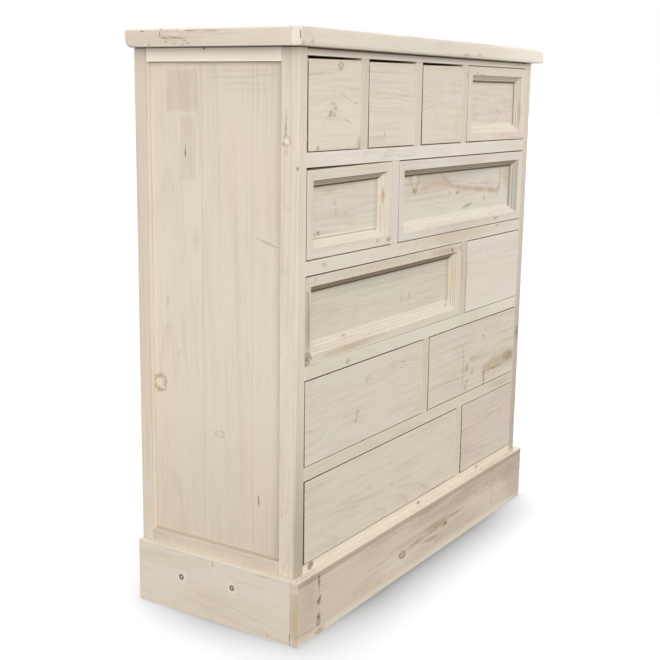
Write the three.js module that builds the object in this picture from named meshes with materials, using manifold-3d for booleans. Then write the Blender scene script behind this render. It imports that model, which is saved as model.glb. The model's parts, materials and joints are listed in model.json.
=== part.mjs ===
// A wide chest of drawers in limed pine, with twelve drawers in five rows and no handles.
// Millimetres, +Z up, the drawers face -Y. The origin is on the floor under the middle of the chest.

import * as THREE from "three";
import { mergeVertices } from "three/addons/utils/BufferGeometryUtils.js";
import Module from "manifold-3d";

const wasm = await Module();
wasm.setup();

// Carcass
const carcassWidth = 1000;
const carcassDepth = 374;
const carcassHeight = 970;

// Top, with its rounded edge all round
const topThickness = 33;
const topSideOverhang = 25;
const topFrontOverhang = 21;
const topLipDepth = 20;
const topEdgeRadius = 8;
const topEdgeSteps = 3;
const subTopThickness = 14;

// Plinth, a frame of boards with bearers glued inside its top edge
const plinthHeight = 130;
const plinthBoard = 17;
const plinthFrontStep = 16;
const plinthSideStep = 13;
const bearerDepth = 24;
const bearerHeight = 30;

// Posts, rails and dividers
const postWidth = 28;
const frontPostDepth = 37;
const rearPostDepth = 29;
const rowRailHeight = 26.6;
const bottomRailHeight = 16;
const dividerWidth = 26;
const sideRailHeight = 25;

// Side panels, loose in grooves, and the back, nailed into a rebate
const sidePanelThickness = 9;
const sidePanelRecess = 12;
const grooveDepth = 8;
const fitGap = 0.3;
const backPanelThickness = 9;
const backRebateWidth = 10;
const backRecess = 2;

// Boards, kickers and guides that the drawers run on, under and between
const dustBoardThickness = 12;
const kickerWidth = 18;
const guideHeight = 20;

// Drawers
const drawerSideGap = 1.6;
const drawerTopGap = 2.6;
const drawerBottomGap = 1;
const runningGap = 0.3;
const frontThickness = 24;
const boxSideThickness = 12;
const boxBackThickness = 12;
const boxBottomThickness = 6;
const boxBottomRise = 9;
const boxTopDrop = 8;
const housingDepth = 5;

// Panelled drawer fronts
const frameWidth = 22;
const mouldingWidth = 17;
const panelRecess = 14;
// Each point: how far across the moulding from the frame to the panel, and how deep
const mouldingShares = [
  [0, 0],
  [0.06, 0.14],
  [0.3, 0.3],
  [0.55, 0.6],
  [0.66, 0.66],
  [0.9, 0.7],
  [1, 1],
];

// Rows from the top, each drawer from the left: its share of the row and its front
const rowWidthShares = [
  [0.209, 0.2148, 0.2148, 0.3614],
  [0.3344, 0.6656],
  [0.6852, 0.3148],
  [0.5, 0.5],
  [0.6904, 0.3096],
];
const rowStyles = [
  ["flat", "flat", "flat", "panelled"],
  ["panelled", "panelled"],
  ["panelled", "flat"],
  ["flat", "flat"],
  ["flat", "flat"],
];

// Places worked out from the sizes above
const rearY = (topFrontOverhang + carcassDepth) / 2;
const faceY = rearY - carcassDepth;
const sideX = carcassWidth / 2;
const innerX = sideX - postWidth;
const capZ = plinthHeight + carcassHeight;
const postRearY = faceY + frontPostDepth;
const rearPostY = rearY - rearPostDepth;
const backY = rearY - backRecess - backPanelThickness;
const boxFrontY = faceY + frontThickness;
const boxRearY = backY - runningGap;
const panelOutX = sideX - sidePanelRecess;
const panelInX = panelOutX - sidePanelThickness;
const rowCount = rowStyles.length;
const railsHeight = subTopThickness + bottomRailHeight + (rowCount - 1) * rowRailHeight;
const rowHeight = (carcassHeight - railsHeight) / rowCount;

// Finishes
const finish = {
  carcass: new THREE.MeshStandardMaterial({ color: 0xddd2c0, roughness: 0.72, metalness: 0, flatShading: true }),
  fronts: new THREE.MeshStandardMaterial({ color: 0xdcd3c3, roughness: 0.7, metalness: 0, flatShading: true }),
  plinth: new THREE.MeshStandardMaterial({ color: 0xd8c8b6, roughness: 0.75, metalness: 0, flatShading: true }),
  inside: new THREE.MeshStandardMaterial({ color: 0xd9bd8e, roughness: 0.8, metalness: 0, flatShading: true }),
};

// Shapes

// Leaves only positions, merges shared corners and turns the faces out.
function closed(geometry) {
  const bare = new THREE.BufferGeometry();
  bare.setAttribute("position", geometry.getAttribute("position"));
  bare.setIndex(geometry.getIndex());
  const merged = mergeVertices(bare);
  const corners = merged.getIndex().array;
  const place = merged.getAttribute("position");
  const [a, b, c] = [new THREE.Vector3(), new THREE.Vector3(), new THREE.Vector3()];
  let volume = 0;
  for (let i = 0; i < corners.length; i += 3) {
    a.fromBufferAttribute(place, corners[i]);
    b.fromBufferAttribute(place, corners[i + 1]);
    c.fromBufferAttribute(place, corners[i + 2]);
    volume += a.dot(b.cross(c));
  }
  if (volume < 0) {
    merged.setIndex(Array.from(corners).reverse());
  }
  return merged;
}

function toManifold(geometry) {
  const merged = closed(geometry);
  const vertProperties = new Float32Array(merged.getAttribute("position").array);
  const triVerts = new Uint32Array(merged.getIndex().array);
  return new wasm.Manifold(new wasm.Mesh({ numProp: 3, vertProperties, triVerts }));
}

function fromManifold(manifold) {
  const mesh = manifold.getMesh();
  const geometry = new THREE.BufferGeometry();
  geometry.setAttribute("position", new THREE.BufferAttribute(mesh.vertProperties, 3));
  geometry.setIndex(Array.from(mesh.triVerts));
  return geometry;
}

function joined(pieces) {
  return fromManifold(pieces.map(toManifold).reduce((whole, piece) => whole.add(piece)));
}

function shared(first, second) {
  return fromManifold(toManifold(first).intersect(toManifold(second)));
}

// A box between two corners, with no rounding error on its faces.
function block(low, high) {
  const geometry = new THREE.BoxGeometry(1, 1, 1);
  const place = geometry.getAttribute("position");
  for (let i = 0; i < place.count; i += 1) {
    const x = place.getX(i) < 0 ? low[0] : high[0];
    const y = place.getY(i) < 0 ? low[1] : high[1];
    const z = place.getZ(i) < 0 ? low[2] : high[2];
    place.setXYZ(i, x, y, z);
  }
  return geometry;
}

// An outline drawn out along one axis. Its points are (y, z) along x, (x, z) along y and (x, y) along z.
function prism(outline, along, from, to) {
  const shape = new THREE.Shape(outline);
  const geometry = new THREE.ExtrudeGeometry(shape, { depth: 1, bevelEnabled: false });
  const place = geometry.getAttribute("position");
  for (let i = 0; i < place.count; i += 1) {
    const [u, v] = [place.getX(i), place.getY(i)];
    const w = place.getZ(i) > 0 ? to : from;
    const corner = { x: [w, u, v], y: [u, w, v], z: [u, v, w] }[along];
    place.setXYZ(i, ...corner);
  }
  return geometry;
}

function outlineOf(points) {
  return points.map(([u, v]) => new THREE.Vector2(u, v));
}

// A rectangle with quarter-round corners.
function roundedOutline(left, right, bottom, top, radius) {
  const quarter = Math.PI / 2;
  const centres = [
    [right - radius, top - radius],
    [left + radius, top - radius],
    [left + radius, bottom + radius],
    [right - radius, bottom + radius],
  ];
  const points = [];
  centres.forEach(([u, v], corner) => {
    for (let step = 0; step <= topEdgeSteps; step += 1) {
      const angle = quarter * (corner + step / topEdgeSteps);
      points.push([u + radius * Math.cos(angle), v + radius * Math.sin(angle)]);
    }
  });
  return outlineOf(points);
}

// Square rings, each [inset, depth] from the front's outer edge, joined by flat faces and closed at both ends.
function ringedFront(left, right, bottom, top, rings) {
  const points = [];
  const faces = [];
  for (const [inset, depth] of rings) {
    const y = faceY + depth;
    points.push(left + inset, y, bottom + inset);
    points.push(right - inset, y, bottom + inset);
    points.push(right - inset, y, top - inset);
    points.push(left + inset, y, top - inset);
  }
  const last = 4 * (rings.length - 1);
  faces.push(0, 1, 2, 0, 2, 3);
  faces.push(last, last + 2, last + 1, last, last + 3, last + 2);
  for (let start = 0; start < last; start += 4) {
    for (let side = 0; side < 4; side += 1) {
      const a = start + side;
      const b = start + ((side + 1) % 4);
      faces.push(a, a + 4, b + 4, a, b + 4, b);
    }
  }
  const geometry = new THREE.BufferGeometry();
  geometry.setAttribute("position", new THREE.Float32BufferAttribute(points, 3));
  geometry.setIndex(faces);
  return geometry;
}

// Pieces

const group = new THREE.Group();

function piece(name, geometry, material) {
  const mesh = new THREE.Mesh(closed(geometry), material);
  mesh.name = name;
  group.add(mesh);
}

// Turns points drawn for the right side to the side wanted, +1 or -1.
function onSide(side, points) {
  return outlineOf(points.map(([x, other]) => [side * x, other]));
}

function sideBlock(side, inX, outX, y0, y1, z0, z1) {
  const [x0, x1] = side > 0 ? [inX, outX] : [-outX, -inX];
  return block([x0, y0, z0], [x1, y1, z1]);
}

const sides = [["left", -1], ["right", 1]];

function makeTop() {
  const outX = sideX + topSideOverhang;
  const topZ = capZ + topThickness;
  const lipY = faceY - topFrontOverhang;
  const lengthways = prism(roundedOutline(lipY, rearY, capZ, topZ, topEdgeRadius), "x", -outX, outX);
  const crossways = prism(roundedOutline(-outX, outX, capZ, topZ, topEdgeRadius), "y", lipY, rearY);
  const slab = shared(lengthways, crossways);
  const jointY = lipY + topLipDepth;
  piece("top_front_lip", shared(slab, block([-outX, lipY, capZ], [outX, jointY, topZ])), finish.carcass);
  piece("top_board", shared(slab, block([-outX, jointY, capZ], [outX, rearY, topZ])), finish.carcass);
  const subTopZ = capZ - subTopThickness;
  piece("sub_top", block([-innerX, postRearY, subTopZ], [innerX, backY, capZ]), finish.inside);
}

function makePlinth() {
  const outX = sideX + plinthSideStep;
  const boardX = outX - plinthBoard;
  const frontY = faceY - plinthFrontStep;
  const boardY = frontY + plinthBoard;
  const backBoardY = rearY - plinthBoard;
  const bearerZ = plinthHeight - bearerHeight;
  const frontBoard = block([-outX, frontY, 0], [outX, boardY, plinthHeight]);
  const frontBearer = block([-boardX, boardY, bearerZ], [boardX, boardY + bearerDepth, plinthHeight]);
  piece("plinth_front", joined([frontBoard, frontBearer]), finish.plinth);
  const backBoard = block([-boardX, backBoardY, 0], [boardX, rearY, plinthHeight]);
  const backBearer = block([-boardX, backBoardY - bearerDepth, bearerZ], [boardX, backBoardY, plinthHeight]);
  piece("plinth_back", joined([backBoard, backBearer]), finish.plinth);
  for (const [word, side] of sides) {
    const board = sideBlock(side, boardX, outX, boardY, rearY, 0, plinthHeight);
    const bearerY = [boardY + bearerDepth, backBoardY - bearerDepth];
    const bearer = sideBlock(side, boardX - bearerDepth, boardX, ...bearerY, bearerZ, plinthHeight);
    piece(`plinth_${word}`, joined([board, bearer]), finish.plinth);
  }
}

function makeSide(word, side) {
  const slot = [panelInX - fitGap, panelOutX + fitGap];
  const frontPost = [
    [innerX, faceY],
    [sideX, faceY],
    [sideX, postRearY],
    [slot[1], postRearY],
    [slot[1], postRearY - grooveDepth],
    [slot[0], postRearY - grooveDepth],
    [slot[0], postRearY],
    [innerX, postRearY],
  ];
  piece(`front_post_${word}`, prism(onSide(side, frontPost), "z", plinthHeight, capZ), finish.carcass);

  const rearPost = [
    [innerX, rearPostY],
    [slot[0], rearPostY],
    [slot[0], rearPostY + grooveDepth],
    [slot[1], rearPostY + grooveDepth],
    [slot[1], rearPostY],
    [sideX, rearPostY],
    [sideX, rearY],
    [innerX + backRebateWidth, rearY],
    [innerX + backRebateWidth, backY],
    [innerX, backY],
  ];
  piece(`rear_post_${word}`, prism(onSide(side, rearPost), "z", plinthHeight, capZ), finish.carcass);

  // The rail's outline on the side of the panel, with the groove that holds the panel's edge
  const rail = (outerZ, panelZ, grooveZ) => [
    [innerX, outerZ],
    [sideX, outerZ],
    [sideX, panelZ],
    [slot[1], panelZ],
    [slot[1], grooveZ],
    [slot[0], grooveZ],
    [slot[0], panelZ],
    [innerX, panelZ],
  ];
  const upperZ = capZ - sideRailHeight;
  const lowerZ = plinthHeight + sideRailHeight;
  const upper = onSide(side, rail(capZ, upperZ, upperZ + grooveDepth));
  const lower = onSide(side, rail(plinthHeight, lowerZ, lowerZ - grooveDepth));
  piece(`side_top_rail_${word}`, prism(upper, "y", postRearY, rearPostY), finish.carcass);
  piece(`side_bottom_rail_${word}`, prism(lower, "y", postRearY, rearPostY), finish.carcass);

  // The panel, with a strip inside it beside each dust board to guide the drawers above and below
  const tongue = grooveDepth - fitGap;
  const panelY = [postRearY - tongue, rearPostY + tongue];
  const parts = [sideBlock(side, panelInX, panelOutX, ...panelY, lowerZ - tongue, upperZ + tongue)];
  for (let row = 0; row < rowCount - 1; row += 1) {
    const [low] = rowSpan(row);
    const strip = [low - rowRailHeight, low + guideHeight];
    parts.push(sideBlock(side, innerX, panelInX, postRearY, rearPostY, ...strip));
  }
  piece(`side_panel_${word}`, joined(parts), finish.carcass);
}

// The lowest and highest Z of a row's opening, counted from the top.
function rowSpan(row) {
  const top = capZ - subTopThickness - row * (rowHeight + rowRailHeight);
  return [top - rowHeight, top];
}

// Each drawer opening of a row: its left and right X.
function rowOpenings(row) {
  const widths = rowWidthShares[row];
  const free = 2 * innerX - (widths.length - 1) * dividerWidth;
  let left = -innerX;
  return widths.map((share) => {
    const opening = [left, left + free * share];
    left = opening[1] + dividerWidth;
    return opening;
  });
}

function frontRail(number, low, high) {
  piece(`front_rail_${number}`, block([-innerX, faceY, low], [innerX, postRearY, high]), finish.carcass);
}

function makeFrontFrame() {
  frontRail(1, capZ - subTopThickness, capZ);
  for (let row = 0; row < rowCount; row += 1) {
    const [low, high] = rowSpan(row);
    const railHeight = row < rowCount - 1 ? rowRailHeight : bottomRailHeight;
    frontRail(row + 2, low - railHeight, low);

    // Each divider runs back as a low guide between two drawers
    const profile = outlineOf([
      [faceY, low],
      [backY, low],
      [backY, low + guideHeight],
      [postRearY, low + guideHeight],
      [postRearY, high],
      [faceY, high],
    ]);
    const openings = rowOpenings(row);
    for (let i = 1; i < openings.length; i += 1) {
      const left = openings[i - 1][1];
      piece(`divider_${row + 1}_${i}`, prism(profile, "x", left, openings[i][0]), finish.carcass);
    }
  }
}

// A dust board with kickers under it, above the sides of the drawers in the row below.
function makeDustBoard(row) {
  const high = rowSpan(row)[0];
  const underside = high - dustBoardThickness;
  const kickerZ = high - rowRailHeight;
  const outline = [[-innerX, high], [-innerX, underside]];
  for (const [left, right] of rowOpenings(row + 1)) {
    for (const kicker of [left + drawerSideGap, right - drawerSideGap - kickerWidth]) {
      outline.push([kicker, underside]);
      outline.push([kicker, kickerZ]);
      outline.push([kicker + kickerWidth, kickerZ]);
      outline.push([kicker + kickerWidth, underside]);
    }
  }
  outline.push([innerX, underside], [innerX, high]);
  piece(`dust_board_${row + 1}`, prism(outlineOf(outline), "y", postRearY, backY), finish.inside);
}

function makeInside() {
  for (let row = 0; row < rowCount - 1; row += 1) {
    makeDustBoard(row);
  }
  const floorZ = plinthHeight + bottomRailHeight;
  piece("bottom_board", block([-innerX, postRearY, plinthHeight], [innerX, backY, floorZ]), finish.inside);
  const edgeX = innerX + backRebateWidth - fitGap;
  const back = block([-edgeX, backY, plinthHeight], [edgeX, backY + backPanelThickness, capZ]);
  piece("back_panel", back, finish.inside);
}

function flatFront(left, right, bottom, top) {
  return block([left, faceY, bottom], [right, boxFrontY, top]);
}

function panelledFront(left, right, bottom, top) {
  const moulding = mouldingShares.map(([across, deep]) => [
    frameWidth + across * mouldingWidth,
    deep * panelRecess,
  ]);
  return ringedFront(left, right, bottom, top, [[0, frontThickness], [0, 0], ...moulding]);
}

// Two sides, a back and a bottom that is housed in them.
function drawerBox(left, right, bottom, top) {
  const innerLeft = left + boxSideThickness;
  const innerRight = right - boxSideThickness;
  const innerRear = boxRearY - boxBackThickness;
  const floorZ = bottom + boxBottomRise;
  const floorTop = floorZ + boxBottomThickness;
  return joined([
    block([left, boxFrontY, bottom], [innerLeft, boxRearY, top]),
    block([innerRight, boxFrontY, bottom], [right, boxRearY, top]),
    block([innerLeft - housingDepth, innerRear, floorZ], [innerRight + housingDepth, boxRearY, top]),
    block([innerLeft - housingDepth, boxFrontY, floorZ], [innerRight + housingDepth, boxRearY, floorTop]),
  ]);
}

function makeDrawer(row, column, opening) {
  const name = `drawer_${row + 1}_${column + 1}`;
  const [low, high] = rowSpan(row);
  const left = opening[0] + drawerSideGap;
  const right = opening[1] - drawerSideGap;
  const top = high - drawerTopGap;
  const shape = rowStyles[row][column] === "flat" ? flatFront : panelledFront;
  piece(`${name}_front`, shape(left, right, low + drawerBottomGap, top), finish.fronts);
  piece(`${name}_box`, drawerBox(left, right, low + runningGap, top - boxTopDrop), finish.inside);
}

makeTop();
makePlinth();
sides.forEach(([word, side]) => makeSide(word, side));
makeFrontFrame();
makeInside();
for (let row = 0; row < rowCount; row += 1) {
  rowOpenings(row).forEach((opening, column) => makeDrawer(row, column, opening));
}

export default group;
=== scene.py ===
# A wide chest of drawers in limed pine: the finish of each board, its worn edges, and drawer fronts that
# sit askew.
# Metres, +Z up, the drawers face -Y, the origin on the floor under the middle of the chest.

import json
import math
import random
from collections import namedtuple

import bmesh
import bpy
from mathutils import Matrix, Vector, noise

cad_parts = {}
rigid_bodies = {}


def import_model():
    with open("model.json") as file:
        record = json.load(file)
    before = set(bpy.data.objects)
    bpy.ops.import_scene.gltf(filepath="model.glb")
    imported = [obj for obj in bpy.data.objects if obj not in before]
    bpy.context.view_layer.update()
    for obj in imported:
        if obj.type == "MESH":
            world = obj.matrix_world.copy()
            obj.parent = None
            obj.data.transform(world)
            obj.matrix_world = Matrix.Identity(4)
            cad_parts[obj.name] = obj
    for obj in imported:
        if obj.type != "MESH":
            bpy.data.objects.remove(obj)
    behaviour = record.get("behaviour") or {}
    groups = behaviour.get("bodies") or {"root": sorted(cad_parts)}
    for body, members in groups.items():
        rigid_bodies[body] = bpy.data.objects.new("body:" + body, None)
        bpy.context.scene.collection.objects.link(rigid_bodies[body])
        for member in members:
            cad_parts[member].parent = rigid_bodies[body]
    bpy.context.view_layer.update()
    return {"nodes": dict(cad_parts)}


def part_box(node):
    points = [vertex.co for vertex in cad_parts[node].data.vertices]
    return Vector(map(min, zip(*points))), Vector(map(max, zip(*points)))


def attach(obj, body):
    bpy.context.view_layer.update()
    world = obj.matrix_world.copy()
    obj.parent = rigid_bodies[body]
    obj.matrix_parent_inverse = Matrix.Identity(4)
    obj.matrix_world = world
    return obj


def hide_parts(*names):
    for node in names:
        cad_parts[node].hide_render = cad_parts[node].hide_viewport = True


for leftover in list(bpy.data.objects):
    bpy.data.objects.remove(leftover)

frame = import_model()

MM = 0.001
AXES = "xyz"
SIDES = (("left", -1), ("right", 1))

# Clearances that the CAD leaves round each drawer front
CAD_SIDE_GAP = 1.6 * MM
CAD_TOP_GAP = 2.6 * MM
CAD_BOTTOM_GAP = 1.0 * MM

# Panelled fronts, as in the CAD
FRAME_WIDTH = 22 * MM
MOULDING_WIDTH = 17 * MM
PANEL_RECESS = 14 * MM
PANEL_REAR = 22 * MM
FRONT_DEPTH = 24 * MM


# The photograph's viewpoint

FOCAL_PIXELS = 1150.98
PICTURE_PIXELS = 660
SENSOR_WIDTH = 36
EYE = Vector((-2.1675, -1.31, 1.0226))
EYE_RIGHT = Vector((0.53981, -0.84167, 0.01416))
EYE_UP = Vector((0.16233, 0.12059, 0.97934))
EYE_BACK = Vector((-0.82599, -0.52636, 0.20173))


# Places on the chest

low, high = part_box("front_post_left")
LEFT_X, FACE_Y, PLINTH_Z, CAP_Z = low.x, low.y, low.z, high.z
FRONT_POST_REAR_Y = high.y
REAR_POST_FACE_Y, REAR_Y = (corner.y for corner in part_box("rear_post_left"))
TOP_RAIL_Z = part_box("side_top_rail_left")[0].z
BOTTOM_RAIL_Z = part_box("side_bottom_rail_left")[1].z
PLINTH_X, PLINTH_SIDE_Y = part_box("plinth_left")[0].xy
PLINTH_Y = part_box("plinth_front")[0].y
LIP_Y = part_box("top_board")[0].y
SLAB_LOW = Vector((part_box("top_board")[0].x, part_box("top_front_lip")[0].y, CAP_Z))
SLAB_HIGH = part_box("top_board")[1]


# Colours

def tone(red, green, blue):
    """A colour as it is seen, 0 to 255, as the shader's own numbers."""
    def channel(value):
        share = value / 255
        return share / 12.92 if share <= 0.04045 else ((share + 0.055) / 1.055) ** 2.4
    return (channel(red), channel(green), channel(blue), 1.0)


def scaled(colour, red, green, blue):
    return (min(1, colour[0] * red), min(1, colour[1] * green), min(1, colour[2] * blue), 1.0)


BROWN = tone(168, 138, 104)
OLIVE = tone(176, 158, 122)
TAN = tone(198, 174, 140)
GREY = tone(160, 150, 136)
PINK = tone(204, 182, 164)
DARK = tone(92, 74, 54)
# Dark brown for painted shade and grime in the gaps round the drawers and under the top
SHADE_AND_GRIME = tone(84, 58, 20)
BLACK = tone(34, 26, 18)
SHADE = tone(128, 98, 92)
CREAM = tone(240, 232, 215)
CHALK = tone(252, 245, 230)


# Shader maths

class Value:
    """One output of a shader node. Sums written with it add Math nodes."""

    def __init__(self, graph, output):
        self.graph = graph
        self.output = output

    def __add__(self, other):
        return self.graph.math("ADD", self, other)

    def __radd__(self, other):
        return self.graph.math("ADD", other, self)

    def __sub__(self, other):
        return self.graph.math("SUBTRACT", self, other)

    def __rsub__(self, other):
        return self.graph.math("SUBTRACT", other, self)

    def __mul__(self, other):
        return self.graph.math("MULTIPLY", self, other)

    def __rmul__(self, other):
        return self.graph.math("MULTIPLY", other, self)

    def __truediv__(self, other):
        return self.graph.math("DIVIDE", self, other)

    def __pow__(self, other):
        return self.graph.math("POWER", self, other)

    def __abs__(self):
        return self.graph.math("ABSOLUTE", self)


class Graph:
    """The nodes of one material or world."""

    def __init__(self, owner):
        self.owner = owner
        owner.use_nodes = True
        self.tree = owner.node_tree
        self.tree.nodes.clear()

    def node(self, kind, settings=None, sockets=None, output=0):
        """Adds a node: its settings first, then the values or links of its sockets."""
        made = self.tree.nodes.new("ShaderNode" + kind)
        for setting, value in (settings or {}).items():
            setattr(made, setting, value)
        for socket, value in (sockets or {}).items():
            if isinstance(value, Value):
                self.tree.links.new(value.output, made.inputs[socket])
            else:
                made.inputs[socket].default_value = value
        return Value(self, made.outputs[output]) if made.outputs else None

    def math(self, operation, *values):
        return self.node("Math", {"operation": operation}, dict(enumerate(values)))

    def vector(self, operation, *values, output=0):
        return self.node("VectorMath", {"operation": operation}, dict(enumerate(values)), output)

    def mix(self, share, first, second):
        """A colour between two, second where share is 1."""
        settings = {"data_type": "RGBA", "clamp_factor": True}
        return self.node("Mix", settings, {0: share, 6: first, 7: second}, 2)

    def between(self, value, start, end):
        """Rises smoothly from 0 where value is start to 1 where it is end."""
        settings = {"interpolation_type": "SMOOTHSTEP"}
        sockets = {"Value": value, "From Min": start, "From Max": end}
        return self.node("MapRange", settings, sockets)

    def fade(self, value, start, end):
        """Falls smoothly from 1 where value is start to 0 where it is end."""
        return 1 - self.between(value, start, end)

    def least(self, first, second):
        return self.math("MINIMUM", first, second)

    def most(self, first, second):
        return self.math("MAXIMUM", first, second)

    def parts(self, vector):
        """The X, Y and Z of a vector."""
        parts = self.node("SeparateXYZ", None, {0: vector}).output.node.outputs
        return [Value(self, part) for part in parts]

    def cloud(self, place, lengths, shift, detail=2, roughness=0.5, output="Fac"):
        """Smooth noise, about 0.5, with blots of these lengths along X, Y and Z."""
        scale = tuple(1 / length for length in lengths)
        spread = self.vector("MULTIPLY_ADD", place, scale, shift)
        sockets = {"Vector": spread, "Scale": 1.0, "Detail": detail, "Roughness": roughness}
        return self.node("TexNoise", None, sockets, output)

    def seen(self):
        """1 for rays from the camera, also mirrored or through glass, and 0 for rays that light things."""
        path = self.node("LightPath").output.node.outputs
        straight, mirrored = Value(self, path["Is Camera Ray"]), Value(self, path["Is Glossy Ray"])
        return self.most(self.most(straight, mirrored), Value(self, path["Is Transmission Ray"]))

    def finish(self, shader, kind="OutputMaterial"):
        self.node(kind, None, {"Surface": shader})
        return self.owner


# Wood

# along: the axis that the grain runs along. face: the axis that the board's wide face looks along.
Board = namedtuple("Board", "along face low high seed")


def node_board(node, along, face, seed):
    low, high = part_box(node)
    return Board(along, face, low, high, seed)


# The lengths of the blots that vary a finish, along the grain and across it
SWAY_BLOTS = (260 * MM, 60 * MM)
RIPPLE_BLOTS = (60 * MM, 12 * MM)
FIBRE_BLOTS = (34 * MM, 0.9 * MM)
BRUSH_BLOTS = (190 * MM, 7 * MM)
PATCH_BLOTS = (170 * MM, 70 * MM)
HUE_BLOTS = (240 * MM, 90 * MM)

# Blots that are as long as they are wide
RAGGED_BLOTS = (7 * MM,) * 3
BREAK_BLOTS = (16 * MM,) * 3

# How far the growth rings wander, and how far from the board the tree's pith lay, in millimetres
SWAY = 26 * MM
RIPPLE = 3 * MM
PITH_DEPTHS = (45, 110)

# How far the rings bend round a knot, and how many times its size the bend reaches
KNOT_HUMP = 22 * MM
KNOT_REACH = 3.4

# How far in from a board's edges the lime is brighter, and the wood rubbed bare
BRIGHT_WIDTH = 3.4 * MM
RUBBED_WIDTH = 1.6 * MM
EDGE_START = 0.2 * MM
EDGE_WANDER = 5 * MM

FAR = 1.0


def lengths_along(board, long, wide):
    return tuple(long if axis == board.along else wide for axis in AXES)


def shift_of(dice):
    return tuple(dice.uniform(-40, 40) for _ in AXES)


def rings(graph, place, board, dice, humps, width_range):
    """The growth rings as the board's faces cut them: 0 in early wood, up to 1 at late wood's lines."""
    along = AXES.index(board.along)
    depth = AXES.index(board.face)
    across = 3 - along - depth
    middle = (board.low + board.high) / 2
    spread = board.high[across] - board.low[across]
    ring_width = dice.uniform(*width_range)
    pith_across = middle[across] + dice.uniform(-0.5, 0.5) * spread
    pith_depth = middle[depth] + dice.choice((-1, 1)) * dice.uniform(*PITH_DEPTHS) * MM
    lean_across = dice.uniform(-0.03, 0.03)
    lean_depth = dice.uniform(-0.09, 0.09)
    parts = graph.parts(place)
    run = parts[along] - middle[along]
    sway = graph.cloud(place, lengths_along(board, *SWAY_BLOTS), shift_of(dice)) - 0.5
    ripple = graph.cloud(place, lengths_along(board, *RIPPLE_BLOTS), shift_of(dice)) - 0.5
    out = parts[across] - pith_across - run * lean_across + sway * SWAY + ripple * RIPPLE
    back = parts[depth] - pith_depth - run * lean_depth
    radius = (out * out + back * back) ** 0.5
    for hump in humps:
        radius = radius + hump
    count = radius / ring_width
    sockets = {"W": count * 0.43, "Scale": 1.0, "Detail": 1.0}
    strength = graph.node("TexNoise", {"noise_dimensions": "1D"}, sockets)
    line = graph.math("FRACT", count) ** 3.2
    return line * graph.between(strength, 0.3, 0.75)


def edge_distance(graph, place, board, edges):
    """How far a place is from its board's nearest edge. edges names the axes whose ends count."""
    middle = (board.low + board.high) / 2
    half = (board.high - board.low) / 2
    offset = graph.vector("ABSOLUTE", graph.vector("SUBTRACT", place, tuple(middle)))
    open_half = [half[i] if AXES[i] in edges else FAR + half[i] for i in range(3)]
    x, y, z = graph.parts(graph.vector("SUBTRACT", tuple(open_half), offset))
    return graph.most(graph.least(x, y), graph.least(graph.most(x, y), z))


# Knots, stains and cracks. middle and size are (x, y, z) in metres, and a size of 0 means right through.
# A figure has no colour of its own: the growth rings bend round it, as they do round a knot. turn is in
# radians, in the plane of the front or of the side.
Mark = namedtuple("Mark", "kind middle size colour strength turn", defaults=(0,))

# A mark as it lies on one face of the chest, in millimetres: its place across and up that face, and half
# its width and height
Spot = namedtuple("Spot", "kind across up wide tall colour strength turn", defaults=(BROWN, 0.6, 0))


def marks_at(spots, middle_of, size_of):
    marks = []
    for kind, across, up, wide, tall, *look in (Spot(*spot) for spot in spots):
        marks.append(Mark(kind, middle_of(across * MM, up * MM), size_of(wide * MM, tall * MM), *look))
    return tuple(marks)


def on_front(*spots):
    """Marks on the front: across from the carcass's left edge, and up from the floor."""
    return marks_at(spots, lambda x, z: (LEFT_X + x, 0, z), lambda wide, tall: (wide, 0, tall))


def on_panel(*spots):
    """Marks on a sunk panel: across and up as they show against the front's face."""
    def behind_face(x, z):
        seen = Vector((LEFT_X + x, FACE_Y, z))
        sight = seen - EYE
        place = seen + sight * (PANEL_RECESS / sight.y)
        return (place.x, 0, place.z)
    return marks_at(spots, behind_face, lambda wide, tall: (wide, 0, tall))


def on_side(*spots):
    """Marks on the left side: across is the model's own Y, and up is from the floor."""
    return marks_at(spots, lambda y, z: (0, y, z), lambda wide, tall: (0, wide, tall))


def streak(kind, width, colour, strength, *places):
    """Spots that run from one place to the next."""
    spots = []
    for start, end in zip(places, places[1:]):
        across, up = end[0] - start[0], end[1] - start[1]
        middle = (start[0] + across / 2, start[1] + up / 2)
        half_length = math.hypot(across, up) / 2 + width
        spots.append(Spot(kind, *middle, half_length, width, colour, strength, math.atan2(up, across)))
    return spots


TRUE_ROUND = ("plug", "halo", "shade")
BENDING = ("knot", "figure")


def mark_distance(graph, place, mark, wobble):
    """0 at the mark's middle and 1 at its rim, with a ragged outline."""
    scale = tuple(1 / size if size else 0 for size in mark.size)
    offset = tuple(-middle * share for middle, share in zip(mark.middle, scale))
    if mark.turn:
        about, angle = ("Y_AXIS", mark.turn) if mark.size[0] else ("X_AXIS", -mark.turn)
        sockets = {"Vector": place, "Center": mark.middle, "Angle": angle}
        place = graph.node("VectorRotate", {"rotation_type": about}, sockets)
    from_middle = graph.vector("MULTIPLY_ADD", place, scale, offset)
    if mark.kind == "brushed":
        x, y, z = graph.parts(graph.vector("ABSOLUTE", from_middle))
        return graph.most(graph.most(x, y), z)
    if mark.kind not in TRUE_ROUND:
        from_middle = graph.vector("ADD", from_middle, wobble)
    return graph.vector("LENGTH", from_middle, output=1)


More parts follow.
